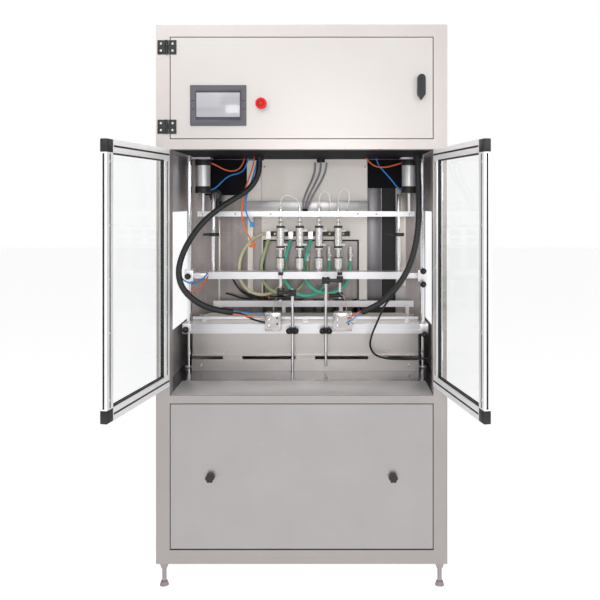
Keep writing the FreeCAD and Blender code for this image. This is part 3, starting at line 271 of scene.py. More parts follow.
DOOR_STEEL = Finish("door_steel", (0.52, 0.495, 0.475), Surface.BRUSHED_X, 0.55, 0.40, 0.10, 0.06, 0.04)
# Painted shade: the access panel's steel is darker than the conveyor's, and low darkens it further towards the
# floor.
SHADED_PANEL_STEEL = Finish(
    "shaded_panel_steel", (0.44, 0.42, 0.42), Surface.BRUSHED_X, 0.9, 0.38, 0.14, 0.14, 0.06, low=0.85)
CONVEYOR_STEEL = Finish(
    "conveyor_steel", (0.56, 0.535, 0.515), Surface.BRUSHED_X, 0.9, 0.34, 0.14, 0.12, 0.06)
# Painted shade: low darkens the frame towards the floor.
FRAME_STEEL = Finish(
    "frame_steel", (0.50, 0.465, 0.45), Surface.BRUSHED_Z, 0.8, 0.40, 0.14, 0.12, 0.06, low=0.72,
    slot="frame_steel")
# Painted shade: the rear-wall liners are darker than the wall's steel where the chamber's back lies in shade,
# and their vertical streaks are painted reflections.
SHADED_WALL = Finish("shaded_wall", (0.30, 0.27, 0.26), Surface.STREAKED, 0.9, 0.34, 0.2, 0.85, 0.05)
SHADED_GREY_WALL = Finish("shaded_grey_wall", (0.20, 0.19, 0.20), Surface.STREAKED, 0.9, 0.36, 0.2, 0.3, 0.05)
# Painted shade: near-black for plates set where the chamber's top lies in shade.
SHADE_BLACK = Finish(
    "painted_shade_black", (0.010, 0.010, 0.014), Surface.BLASTED, 0.0, 0.6, 0.1, 0.2, 0.05, specular=0.05,
    slot="motor_paint")
WARM_STEEL = Finish("warm_steel", (0.66, 0.60, 0.54), Surface.BRUSHED_Z, 0.9, 0.34, 0.14, 0.12, 0.06)
TABLE_STEEL = Finish("table_steel", (0.17, 0.16, 0.17), Surface.BRUSHED_X, 1.0, 0.22, 0.10, 0.10, 0.04)
WALL_STEEL = Finish("wall_steel", (0.44, 0.42, 0.42), Surface.BRUSHED_Z, 0.95, 0.36, 0.14, 0.14, 0.06)
SKIN_STEEL = Finish("skin_steel", (0.62, 0.60, 0.60), Surface.BRUSHED_Y, 0.9, 0.36, 0.12, 0.08, 0.05)
CHROME = Finish("chrome", (0.80, 0.80, 0.82), Surface.TURNED, 1.0, 0.10, 0.08, 0.06, 0.02, slot="polished")
TURNED_STEEL = Finish(
    "turned_steel", (0.80, 0.78, 0.76), Surface.TURNED, 1.0, 0.22, 0.08, 0.05, 0.015, slot="polished")
ALUMINIUM = Finish(
    "aluminium", (0.80, 0.80, 0.81), Surface.BLASTED, 0.8, 0.42, 0.10, 0.08, 0.05, slot="aluminium")
BRIGHT_PROFILE = Finish(
    "bright_profile", (0.78, 0.78, 0.80), Surface.BRUSHED_X, 0.85, 0.34, 0.10, 0.08, 0.04, slot="aluminium")
# Painted light: a weak glow brightens the white paint.
WHITE_PAINT = Finish(
    "white_paint", (0.88, 0.83, 0.77), Surface.BLASTED, 0.0, 0.42, 0.08, 0.06, 0.04, coat=0.2, glow=0.08)
BLACK_PLASTIC = moulded("black_plastic", (0.012, 0.012, 0.013), 0.38, 0.14, 0.3, 0.12, slot="black_plastic")
BLACK_RUBBER = moulded("black_rubber", (0.016, 0.016, 0.017), 0.46, 0.16, 0.35, 0.18, slot="rubber")
DARK_METAL = Finish(
    "dark_metal", (0.06, 0.06, 0.065), Surface.BLASTED, 0.4, 0.44, 0.14, 0.2, 0.1, slot="motor_paint")
MOTOR_PAINT = Finish(
    "motor_paint", (0.10, 0.12, 0.15), Surface.BLASTED, 0.0, 0.44, 0.12, 0.16, 0.14, coat=0.2,
    slot="motor_paint")
WHITE_PLASTIC = moulded("white_plastic", (0.82, 0.82, 0.80), 0.34, 0.1, 0.06, 0.06, slot="white_plastic")
GREY_BEZEL = moulded("grey_bezel", (0.085, 0.085, 0.10), 0.42, 0.1, 0.1, 0.1, slot="grey_plastic")
# Painted light: a weak glow brightens the screen.
SCREEN = moulded(
    "screen", (0.35, 0.345, 0.37), 0.16, 0.06, 0.05, 0.01, coat=0.5, glow=0.08, slot="grey_plastic")
RED_PLASTIC = moulded(
    "red_plastic", (0.72, 0.012, 0.010), 0.34, 0.1, 0.08, 0.05, specular=0.2, slot="red_plastic")
BELT = Finish("belt", (0.66, 0.58, 0.50), Surface.WOVEN, 0.0, 0.62, 0.14, 0.14, 0.3, slot="belt")
BELT_EDGE = Finish("belt_edge", (0.30, 0.20, 0.34), Surface.WOVEN, 0.0, 0.6, 0.1, 0.12, 0.2, slot="belt")
BRASS = Finish("brass", (0.62, 0.42, 0.14), Surface.TURNED, 1.0, 0.28, 0.12, 0.14, 0.08, slot="polished")
GLASS = moulded(
    "glass", (0.97, 0.985, 0.98), 0.02, 0.01, 0.01, 0.004, transmission=1.0, ior=1.12, slot="clear_glass")
YELLOW_HOSE = moulded(
    "yellow_hose", (0.76, 0.71, 0.46), 0.24, 0.08, 0.1, 0.04, coat=0.3, transmission=0.15, slot="hose")
OLIVE_HOSE = moulded(
    "olive_hose", (0.50, 0.60, 0.32), 0.24, 0.08, 0.1, 0.04, coat=0.3, transmission=0.15, slot="hose")
GREEN_HOSE = moulded(
    "green_hose", (0.13, 0.74, 0.52), 0.24, 0.08, 0.1, 0.04, coat=0.3, transmission=0.15, slot="hose")
BRIGHT_BLUE = moulded("bright_blue", (0.01, 0.34, 0.85), 0.3, 0.08, 0.1, 0.05, slot="air_tube")
BLUE_TUBE = moulded("blue_tube", (0.02, 0.28, 0.78), 0.3, 0.08, 0.1, 0.05, slot="air_tube")
ORANGE_TUBE = moulded("orange_tube", (0.88, 0.18, 0.05), 0.3, 0.08, 0.1, 0.05, slot="air_tube")
# Painted light: a glow brightens the clear tubes.
CLEAR_TUBE = moulded("clear_tube", (0.90, 0.90, 0.88), 0.26, 0.08, 0.06, 0.04, glow=0.2, slot="white_plastic")
GREY_CABLE = moulded("grey_cable", (0.30, 0.30, 0.32), 0.46, 0.12, 0.14, 0.14, slot="cable_grey")
BEIGE_WIRE = moulded("beige_wire", (0.62, 0.54, 0.42), 0.44, 0.1, 0.1, 0.08, slot="belt")
UNIT_GREY = moulded("unit_grey", (0.32, 0.33, 0.34), 0.46, 0.1, 0.12, 0.1, slot="cabinet_units")
SEAL = moulded("seal", (0.012, 0.012, 0.012), 0.6, 0.1, 0.2, 0.1, slot="rubber")
SCREW_STEEL = Finish(
    "screw_steel", (0.60, 0.60, 0.60), Surface.TURNED, 1.0, 0.24, 0.1, 0.1, 0.05, slot="polished")
FLOOR_PAINT = Finish("floor_paint", (0.93, 0.93, 0.93), Surface.BLASTED, 0.0, 0.7, 0.05, 0.01, 0.0, glow=0.6)
FOOT_STEEL = Finish(
    "foot_steel", (0.34, 0.29, 0.31), Surface.TURNED, 0.5, 0.40, 0.12, 0.14, 0.06, specular=0.3,
    slot="polished")
STOP_STEEL = Finish(
    "stop_steel", (0.52, 0.50, 0.49), Surface.BLASTED, 1.0, 0.24, 0.14, 0.3, 0.10, slot="aluminium")
# Painted light: a weak glow brightens the window profiles.
WINDOW_PROFILE = Finish(
    "window_profile", (0.92, 0.92, 0.925), Surface.BLASTED, 0.5, 0.34, 0.08, 0.06, 0.03, glow=0.06,
    slot="aluminium")
SILL_STEEL = Finish("sill_steel", (0.66, 0.64, 0.64), Surface.BRUSHED_X, 0.6, 0.40, 0.10, 0.10, 0.04)
DARK_RED = moulded("dark_red", (0.16, 0.004, 0.004), 0.34, 0.1, 0.1, 0.05, slot="red_plastic")

NODE_FINISHES = {
    "main_frame": FRAME_STEEL, "side_panels": SKIN_STEEL, "rear_panels": WALL_STEEL, "cabinet_decks": SKIN_STEEL,
    "table_top": TABLE_STEEL, "pump_cover_panel": WHITE_PAINT, "electrical_panel": UNIT_GREY,
    "pneumatic_units": BLACK_PLASTIC, "cable_glands": BLACK_PLASTIC, "levelling_feet": FOOT_STEEL,
    "conveyor_frame": CONVEYOR_STEEL, "conveyor_guide_rails": BRIGHT_PROFILE, "conveyor_belt": BELT,
    "conveyor_gearmotor": MOTOR_PAINT, "lift_columns": CHROME, "cross_bars": BRIGHT_PROFILE,
    "lift_cylinders": ALUMINIUM, "pump_cylinders": TURNED_STEEL, "valve_bodies": TURNED_STEEL,
    "product_pipework": TURNED_STEEL, "drive_guides": CHROME, "servo_motor": DARK_METAL, "stand_rods": CHROME,
    "stand_clamps": BLACK_PLASTIC, "bottle_sensors": BLACK_PLASTIC, "stopper_cylinders": STOP_STEEL,
    "access_panel": SHADED_PANEL_STEEL, "left_panel_knob": BLACK_PLASTIC, "right_panel_knob": BLACK_PLASTIC,
    "control_door": DOOR_STEEL, "control_door_fittings": BLACK_PLASTIC, "latch_handle": BLACK_PLASTIC,
    "left_window_frame": WINDOW_PROFILE, "right_window_frame": WINDOW_PROFILE, "left_window_glass": GLASS,
    "right_window_glass": GLASS, "lift_bar": BRIGHT_PROFILE, "head_actuators": TURNED_STEEL,
    "head_valves": TURNED_STEEL, "pistons": CHROME, "drive_plate": ALUMINIUM, "ball_screw": CHROME,
    "valve_spindle": TURNED_STEEL, "left_stopper_pin": CHROME, "right_stopper_pin": CHROME,
    "drive_roller": ALUMINIUM, "idler_roller": ALUMINIUM,
}


# ---------------------------------------------------------------- shading
class Wire:
    """One value in a shader graph; arithmetic on it adds math nodes."""

    def __init__(self, graph: "Graph", socket: bpy.types.NodeSocket) -> None:
        self.graph = graph
        self.socket = socket

    def _math(self, operation: str, first, second) -> "Wire":
        return self.graph.node("ShaderNodeMath", {0: first, 1: second}, operation=operation)

    def __add__(self, other) -> "Wire":
        return self._math("ADD", self, other)

    def __sub__(self, other) -> "Wire":
        return self._math("SUBTRACT", self, other)

    def __mul__(self, other) -> "Wire":
        return self._math("MULTIPLY", self, other)

    def __gt__(self, other) -> "Wire":
        return self._math("GREATER_THAN", self, other)

    def __rsub__(self, other) -> "Wire":
        return self._math("SUBTRACT", other, self)

    __radd__ = __add__
    __rmul__ = __mul__


class Graph:
    """The node graph of a material or of the world."""

    def __init__(self, owner: bpy.types.Material | bpy.types.World) -> None:
        owner.use_nodes = True
        self.tree = owner.node_tree

    def node(self, kind: str, inputs: dict | None = None, output: int | str = 0, **settings) -> Wire:
        """Add any node.

        Args:
            kind: The node's type name.
            inputs: Values or wires for its inputs, by index or name.
            output: Which output the wire carries.
            settings: The node's own properties.

        Returns:
            The chosen output as a wire.
        """
        made = self.tree.nodes.new(kind)
        for key, value in settings.items():
            setattr(made, key, value)
        for key, value in (inputs or {}).items():
            self.feed(made.inputs[key], value)
        return Wire(self, made.outputs[output])

    def feed(self, socket: bpy.types.NodeSocket, value) -> None:
        """Link a wire to an input, or set a plain value on it.

        Args:
            socket: The input to feed.
            value: A wire or a constant.
        """
        if isinstance(value, Wire):
            self.tree.links.new(value.socket, socket)
        else:
            socket.default_value = value


def shade(finish: Finish) -> bpy.types.Material:
    """Make a finish's material once, with grain, wear, roughness and bump.

    Args:
        finish: The finish to make.

    Returns:
        The finished material.
    """
    name = "look_" + finish.name
    known = bpy.data.materials.get(name)
    if known:
        return known
    material = bpy.data.materials.new(name)
    graph = Graph(material)
    where = graph.node("ShaderNodeTexCoord", output="Object")
    laid = graph.node("ShaderNodeMapping", {"Vector": where, "Scale": finish.surface.value})
    grain = graph.node("ShaderNodeTexNoise", {"Vector": laid, "Scale": 1.0, "Detail": 3.0, "Roughness": 0.6})
    cloud = graph.node("ShaderNodeTexNoise",
                       {"Vector": where, "Scale": CLOUD_SCALE, "Detail": 4.0, "Roughness": 0.55})
    specks = graph.node("ShaderNodeTexNoise",
                        {"Vector": where, "Scale": SPECK_SCALE, "Detail": 2.0}) > SPECK_SHARE
    # Random tone and wear; on the rear-wall liners, whose grain runs in vertical streaks, this blend paints
    # reflections.
    fade = grain * 0.35 + cloud * 0.65 + specks * 0.12
    dark = tuple(c * (1 - finish.wear_and_sheen) for c in finish.colour) + (1.0,)
    light = tuple(min(1.0, c * (1 + finish.wear_and_sheen) + finish.wear_and_sheen * 0.02) for c in finish.colour) + (1.0,)
    colour = graph.node("ShaderNodeMix", {"Factor": fade, 6: dark, 7: light}, output=2, data_type="RGBA")
    # Painted shade: the colour darkens towards the floor, as if less light fell on the lower parts.
    if finish.low < 1:
        height = graph.node("ShaderNodeSeparateXYZ", {"Vector": where}, output="Z")
        shade_share = graph.node("ShaderNodeMapRange",
                          {"Value": height, "From Min": LIT_ABOVE, "From Max": SHADED_BELOW})
        shade_colour = (finish.low, finish.low, finish.low, 1.0)
        colour = graph.node("ShaderNodeMix", {"Factor": shade_share, 6: colour, 7: shade_colour}, output=2, data_type="RGBA",
                            blend_type="MULTIPLY")
    roughness = ((grain - 0.5) * finish.grain + (cloud - 0.5) * (finish.grain * 0.6)
                 + specks * 0.05 + finish.roughness)
    bump = graph.node("ShaderNodeBump", {"Strength": finish.bump, "Distance": BUMP_HEIGHT, "Height": grain},
                      output="Normal")
    shader = graph.tree.nodes["Principled BSDF"]
    graph.feed(shader.inputs["Base Color"], colour)
    graph.feed(shader.inputs["Roughness"], roughness)
    graph.feed(shader.inputs["Normal"], bump)
    graph.feed(shader.inputs["Metallic"], finish.metallic)
    graph.feed(shader.inputs["Coat Weight"], finish.coat)
    graph.feed(shader.inputs["Transmission Weight"], finish.transmission)
    graph.feed(shader.inputs["IOR"], finish.ior)
    graph.feed(shader.inputs["Specular IOR Level"], finish.specular)
    # Painted light: a glow brightens plain surfaces that are no lamps; on the floor it keeps the floor evenly
    # white.
    if finish.glow:
        graph.feed(shader.inputs["Emission Color"], colour)
        graph.feed(shader.inputs["Emission Strength"], finish.glow)
    return material


# ---------------------------------------------------------------- modelling
def mm(x: float, depth: float, z: float) -> Vector:
    """A point from millimetres, its depth counted from the posts' front faces.

    Args:
        x: Distance to the right of the middle.
        depth: Distance behind the posts' front faces.
        z: Height above the floor.

    Returns:
        The point in metres.
    """
    return Vector((x, FRONT + depth, z)) / 1000


def fresh() -> None:
    """Leave edit mode and deselect everything."""
    if bpy.context.object and bpy.context.object.mode != "OBJECT":
        bpy.ops.object.mode_set(mode="OBJECT")
    bpy.ops.object.select_all(action="DESELECT")


def settle(piece: bpy.types.Object, name: str, bevel: float = 0.0, segments: int = 2) -> bpy.types.Object:
    """Apply a new piece's placement, round its edges and smooth it.

    Args:
        piece: The object that was just added.
        name: Its name.
        bevel: Edge radius in millimetres.
        segments: Faces across each rounded edge.

    Returns:
        The same object at the origin, unturned and unscaled.
    """
    piece.name = name
    bpy.ops.object.transform_apply(location=True, rotation=True, scale=True)
    if bevel:
        modifier = piece.modifiers.new("round", "BEVEL")
        modifier.width = bevel / 1000
        modifier.segments = segments
        modifier.limit_method = "ANGLE"
        bpy.ops.object.modifier_apply(modifier=modifier.name)
    bpy.ops.object.shade_smooth_by_angle(angle=math.radians(SMOOTH_ANGLE))
    return piece


def block(name: str, x, depth, z, bevel: float = 0.0) -> bpy.types.Object:
    """A block from three (low, high) pairs in millimetres.

    Args:
        name: Its name.
        x: Low and high x.
        depth: Low and high depth.
        z: Low and high z.
        bevel: Edge radius.

    Returns:
        The block.
    """
    fresh()
    middle = [(a + b) / 2 for a, b in (x, depth, z)]
    bpy.ops.mesh.primitive_cube_add(size=1, location=mm(*middle))
    piece = bpy.context.object
    piece.scale = [abs(b - a) / 1000 for a, b in (x, depth, z)]
    return settle(piece, name, bevel)


def rod(name: str, start, radius: float, length: float, axis: Axis = Axis.Z, bevel: float = 0.0,
        tip: float | None = None, sides: int = 40, segments: int = 2) -> bpy.types.Object:
    """A round bar or cone that starts at a point.

    Args:
        name: Its name.
        start: The (x, depth, z) of its first end.
        radius: Its radius there.
        length: How far it runs.
        axis: The way it runs.
        bevel: Edge radius.
        tip: Radius at the far end, if not the same.
        sides: Sides of the circle.
        segments: Faces across each rounded edge.

    Returns:
        The bar.
    """
    fresh()
    along = {Axis.X: Vector((1, 0, 0)), Axis.Y: Vector((0, 1, 0)), Axis.Z: Vector((0, 0, 1))}[axis]
    bpy.ops.mesh.primitive_cone_add(
        vertices=sides, radius1=radius / 1000, radius2=(radius if tip is None else tip) / 1000,
        depth=length / 1000, location=mm(*start) + along * (length / 2000), rotation=axis.value)
    return settle(bpy.context.object, name, bevel, segments)


def ball(name: str, centre, radius: float) -> bpy.types.Object:
    """A ball.

    Args:
        name: Its name.
        centre: Its (x, depth, z).
        radius: Its radius.

    Returns:
        The ball.
    """
    fresh()
    bpy.ops.mesh.primitive_uv_sphere_add(segments=40, ring_count=24, radius=radius / 1000, location=mm(*centre))
    return settle(bpy.context.object, name)


def ring(name: str, centre, radius: float, thick: float, axis: Axis = Axis.Z) -> bpy.types.Object:
    """A round ring.

    Args:
        name: Its name.
        centre: Its (x, depth, z).
        radius: Radius of its centre line.
        thick: Radius of its section.
        axis: The way its hole points.

    Returns:
        The ring.
    """
    fresh()
    bpy.ops.mesh.primitive_torus_add(
        major_radius=radius / 1000, minor_radius=thick / 1000, major_segments=48, minor_segments=12,
        location=mm(*centre), rotation=axis.value)
    return settle(bpy.context.object, name)


def sink(piece: bpy.types.Object, normal, inset: float, drop: float) -> None:
    """Inset the faces that look one way and push them in.

    Args:
        piece: The piece to shape.
        normal: The way the faces look.
        inset: Width of the rim left round them, in millimetres.
        drop: How far they go in, in millimetres.
    """
    fresh()
    bpy.context.view_layer.objects.active = piece
    piece.select_set(True)
    look = Vector(normal)
    areas = [(face.area if face.normal.dot(look) > 0.99 else 0.0) for face in piece.data.polygons]
    bpy.ops.object.mode_set(mode="EDIT")
    bpy.ops.mesh.select_mode(type="FACE")
    bpy.ops.mesh.select_all(action="DESELECT")
    bpy.ops.object.mode_set(mode="OBJECT")
    for face, area in zip(piece.data.polygons, areas):
        face.select = area > 0.5 * max(areas)
    bpy.ops.object.mode_set(mode="EDIT")
    bpy.ops.mesh.inset(thickness=inset / 1000, depth=0)
    bpy.ops.mesh.extrude_region_move(TRANSFORM_OT_translate={"value": look * (-drop / 1000)})
    bpy.ops.object.mode_set(mode="OBJECT")


def join(name: str, pieces: list) -> bpy.types.Object:
    """Join pieces into one object.

    Args:
        name: The name of the whole.
        pieces: What to join.

    Returns:
        The joined object.
    """
    fresh()
    for piece in pieces:
        piece.select_set(True)
    bpy.context.view_layer.objects.active = pieces[0]
    bpy.ops.object.join()
    pieces[0].name = name
    return pieces[0]


def screws(name: str, places: list, radius: float, height: float, axis: Axis,
           outward: float) -> bpy.types.Object:
    """Socket button screws on a face.

    Args:
        name: The group's name.
        places: The (x, depth, z) of each head's seat.
        radius: Head radius.
        height: Head height.
        axis: The screws' axis.
        outward: 1 if the heads point up the axis, -1 if down it.

    Returns:
        The screws as one object.
    """
    along = {Axis.X: (1, 0, 0), Axis.Y: (0, 1, 0), Axis.Z: (0, 0, 1)}[axis]
    step = Vector(along) * outward
    heads = []
    for seat in places:
        start = [c + min(0.0, d * height * outward) for c, d in zip(seat, along)]
        head = rod(name, start, radius, height, axis, bevel=radius * 0.22, sides=20)
        sink(head, step, radius * 0.42, height * 0.5)
        heads.append(head)
    return join(name, heads)


def spline(name: str, route, diameter: float) -> bpy.types.Object:
    """A round cord along a route.

    Args:
        name: Its name.
        route: Its (x, depth, z) control points.
        diameter: In millimetres.

    Returns:
        The curve object.
    """
    curve = bpy.data.curves.new(name, "CURVE")
    curve.dimensions = "3D"
    curve.resolution_u = 10
    line = curve.splines.new("NURBS")
    line.points.add(len(route) - 1)
    for point, spot in zip(line.points, route):
        point.co = (*mm(*spot), 1.0)
    line.order_u = 3
    line.use_endpoint_u = True
    curve.bevel_depth = diameter / 2000
    curve.bevel_resolution = 6
    curve.use_fill_caps = True
    piece = bpy.data.objects.new(name, curve)
    bpy.context.scene.collection.objects.link(piece)
    return piece


def run_length(route) -> float:
    """Length of the smooth line that a route's control points give.

    Args:
        route: The (x, depth, z) control points.

    Returns:
        Its length in metres.
    """
    points = [mm(*spot) for spot in route]
    last = len(points) - 1
    total = 0.0
    for i in range(1, last):
        start = points[0] if i == 1 else (points[i - 1] + points[i]) / 2
        end = points[last] if i == last - 1 else (points[i] + points[i + 1]) / 2
        before = start
        for step in range(1, 21):
            t = step / 20
            here = start * (1 - t) ** 2 + points[i] * (2 * t * (1 - t)) + end * t ** 2
            total += (here - before).length
            before = here
    return total


def place(piece: bpy.types.Object, body: str, finish: Finish, stands_for: tuple = ()) -> bpy.types.Object:
    """Give a piece its finish and the body it moves with.

    Args:
        piece: The piece.
        body: The body it rides on.
        finish: Its finish.
        stands_for: CAD nodes that it replaces.

    Returns:
        The piece.
    """
    piece.data.materials.clear()
    piece.data.materials.append(shade(finish))
    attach(piece, body)
    for node in stands_for:
        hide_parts(node)
    LOG.info("piece %s on %s in %s", piece.name, body, finish.name)
    return piece


def place_all(body: str, *pairs: tuple) -> None:
    """Place pieces that ride on one body.

    Args:
        body: The body.
        pairs: Each piece with its finish.
    """
    for piece, finish in pairs:
        place(piece, body, finish)


# ---------------------------------------------------------------- sub-assemblies
@dataclass
class Sheets:
    """The CAD pieces that keep their shape, and the small hardware on frame and table."""

    nodes: dict

    def build(self) -> None:
        """Make the screws in the table, the strips on the chamber's rear wall and plates of painted shade on the
        rear wall, under the chamber's top and behind the pump window.
        """
        table = [(x, 224, TABLE) for x in (-420, 420)]
        self.table_screws = screws("table_screws", table, 4.5, 2.2, Axis.Z, 1)
        self.sill = block("table_sill", (-473, 473), (0.6, 216), (TABLE - 0.2, TABLE + 0.6), bevel=0.2)
        wall = [(x, 620, z) for x in (-188, 257) for z in (1300, 1545)]
        self.panel_screws = screws("pump_panel_screws", wall, 4.5, 2.4, Axis.Y, -1)
        # Painted shade: dark liners on the rear wall where the chamber's back lies in shade.
        self.shaded_wall = join("shaded_wall_liner", [
            block("liner", (-386, -204), LINER_DEPTH, CHAMBER_Z),
            block("liner", (-520, -394), LINER_DEPTH, CHAMBER_Z),
        ])
        self.seam = block("wall_seam", (-394, -386), (630, 639.5), (696, 1440), bevel=2)
        # Painted shade: a darker grey liner right of the pump panel.
        self.shaded_grey_wall = block("shaded_grey_wall_liner", (269, 330), (634, 639.5), CHAMBER_Z, bevel=1)
        self.wall_gap = block("wall_gap", (332, 394), LINER_DEPTH, CHAMBER_Z)
        self.wall_bar = block("wall_bar", (396, 438), (624, 639.5), (1015, 1450), bevel=3)
        # Painted shade: a dark liner at the rear wall's right end.
        self.shaded_wall_end = block("shaded_wall_end_liner", (440, 520), LINER_DEPTH, CHAMBER_Z)
        # Painted shade: near-black plates in the chamber's rear top corners and under its top, where shade
        # falls.
        self.top_shade = join("chamber_top_shade", [
            block("dark", (-470, -268), (630, 635), (1420, 1578), bevel=1),
            block("dark", (269, 470), (626, 633), (1452, 1578), bevel=1),
            block("dark", (-474, 474), (52, 618), (1579.1, 1579.8)),
        ])
        self.cheek = join("pump_panel_cheeks", [
            block("cheek", (-266, -202), (612, 634), (1349, 1574), bevel=3),
            block("cheek", (-262, -238), (613, 634), (985, 1348), bevel=2),
        ])
        self.flange = block("pump_panel_flange", (-268, 268), (600, 605), (1350, 1395), bevel=1.5)
        # Painted shade: a dark plate behind the pump window, where its recess lies in shade.
        self.window_shade = block("pump_window_shade", (-190, 226), (641, 644), (957, 1219))

    def dress(self) -> None:
        """Give every kept CAD node its material and place the small pieces."""
        for name, finish in NODE_FINISHES.items():
            node = self.nodes[name]
            node.data.materials.clear()
            node.data.materials.append(shade(finish))
            LOG.info("node %s in %s", name, finish.name)
        # The wall liners, the chamber's top plates and the pump window's plate are painted shade.
        place_all("machine", (self.table_screws, SCREW_STEEL), (self.panel_screws, SCREW_STEEL),
                  (self.sill, SILL_STEEL), (self.wall_gap, SEAL), (self.shaded_wall, SHADED_WALL),
                  (self.seam, WARM_STEEL), (self.shaded_grey_wall, SHADED_GREY_WALL), (self.wall_bar, WARM_STEEL),
                  (self.shaded_wall_end, SHADED_WALL), (self.top_shade, SHADE_BLACK), (self.cheek, WHITE_PAINT),
                  (self.flange, SKIN_STEEL), (self.window_shade, SHADED_WALL))


@dataclass
class ControlDoor:
    """Screen, emergency stop, latch details and hinges of the control cabinet."""

    stop: tuple = (-144, 1742)
    latch: tuple = (429.5, 1833)

    def build(self) -> None:
        """Model the door's fittings."""
        self.bezel = block("screen_bezel", (-401, -199), (-8, -1), (1664, 1810), bevel=2.5)
        sink(self.bezel, (0, -1, 0), 18, 1.2)
        self.case = block("screen_case", (-389, -211), (-1, 42), (1676, 1798), bevel=2)
        self.display = block("screen_display", (-378, -222), (-8, -4), (1695, 1783), bevel=0.5)
        grooves = []
        for x in ((-396, -386), (-214, -204)):
            for z in (1722, 1752):
                grooves.append(block("screen_groove", x, (-8.4, -7), (z, z + 3)))
        self.grooves = join("screen_grooves", grooves)
        x, z = self.stop
        head = rod("estop_head", (x, -36, z), 20, 14, Axis.Y, bevel=5, segments=5, sides=56)
        neck = rod("estop_neck", (x, -23, z), 13, 12, Axis.Y, sides=48)
        stem = rod("estop_stem", (x, -21, z), 8, 29, Axis.Y)
        self.button = join("estop_mushroom", [head, neck, stem])
        self.arrows = ring("estop_ring", (x, -35.6, z), 10, 2.2, Axis.Y)
        x, z = self.latch
        self.lock = rod("latch_lock", (x, -26, z), 7, 3, Axis.Y, bevel=0.8)
        sink(self.lock, (0, -1, 0), 4.5, 1)
        self.rib = block("latch_rib", (x - 4, x + 4), (-27, -23), (1784, 1822), bevel=1.5)
        places = [(a, -4, low + b) for low in CONTROL_HINGE_Z for a in (-464,) for b in (13, 38)]
        self.door_screws = screws("control_hinge_door_screws", places, 4.2, 2, Axis.Y, -1)
        places = [(-506, -4, low + b) for low in CONTROL_HINGE_Z for b in (13, 38)]
        self.post_screws = screws("control_hinge_post_screws", places, 4.2, 2, Axis.Y, -1)
        leaves = []
        for low in CONTROL_HINGE_Z:
            leaves.append(block("leaf", (-519, -491), (-4, 0), (low, low + CONTROL_HINGE_TALL), bevel=1))
            for z in ((low, low + 17), (low + 34, low + CONTROL_HINGE_TALL)):
                leaves.append(block("web", (-492, -485), (-6, -2), z))
                leaves.append(rod("barrel", (*CONTROL_PIN, z[0]), KNUCKLE_RADIUS, z[1] - z[0], bevel=0.5))
            leaves.append(rod("pin", (*CONTROL_PIN, low), PIN_RADIUS, CONTROL_HINGE_TALL))
        self.leaves = join("control_hinge_post_leaves", leaves)

    def dress(self) -> None:
        """Place the door's fittings."""
        place(self.bezel, "control_door", GREY_BEZEL, ("touch_screen",))
        place_all("control_door", (self.case, GREY_BEZEL), (self.display, SCREEN),
                  (self.grooves, BLACK_PLASTIC), (self.door_screws, SCREW_STEEL))
        place(self.button, "estop_button", RED_PLASTIC, ("estop_button",))
        place(self.arrows, "estop_button", DARK_RED)
        place_all("latch_handle", (self.lock, BLACK_PLASTIC), (self.rib, BLACK_PLASTIC))
        place(self.post_screws, "machine", SCREW_STEEL)
        place(self.leaves, "machine", BLACK_PLASTIC, ("hinge_fixed_leaves",))


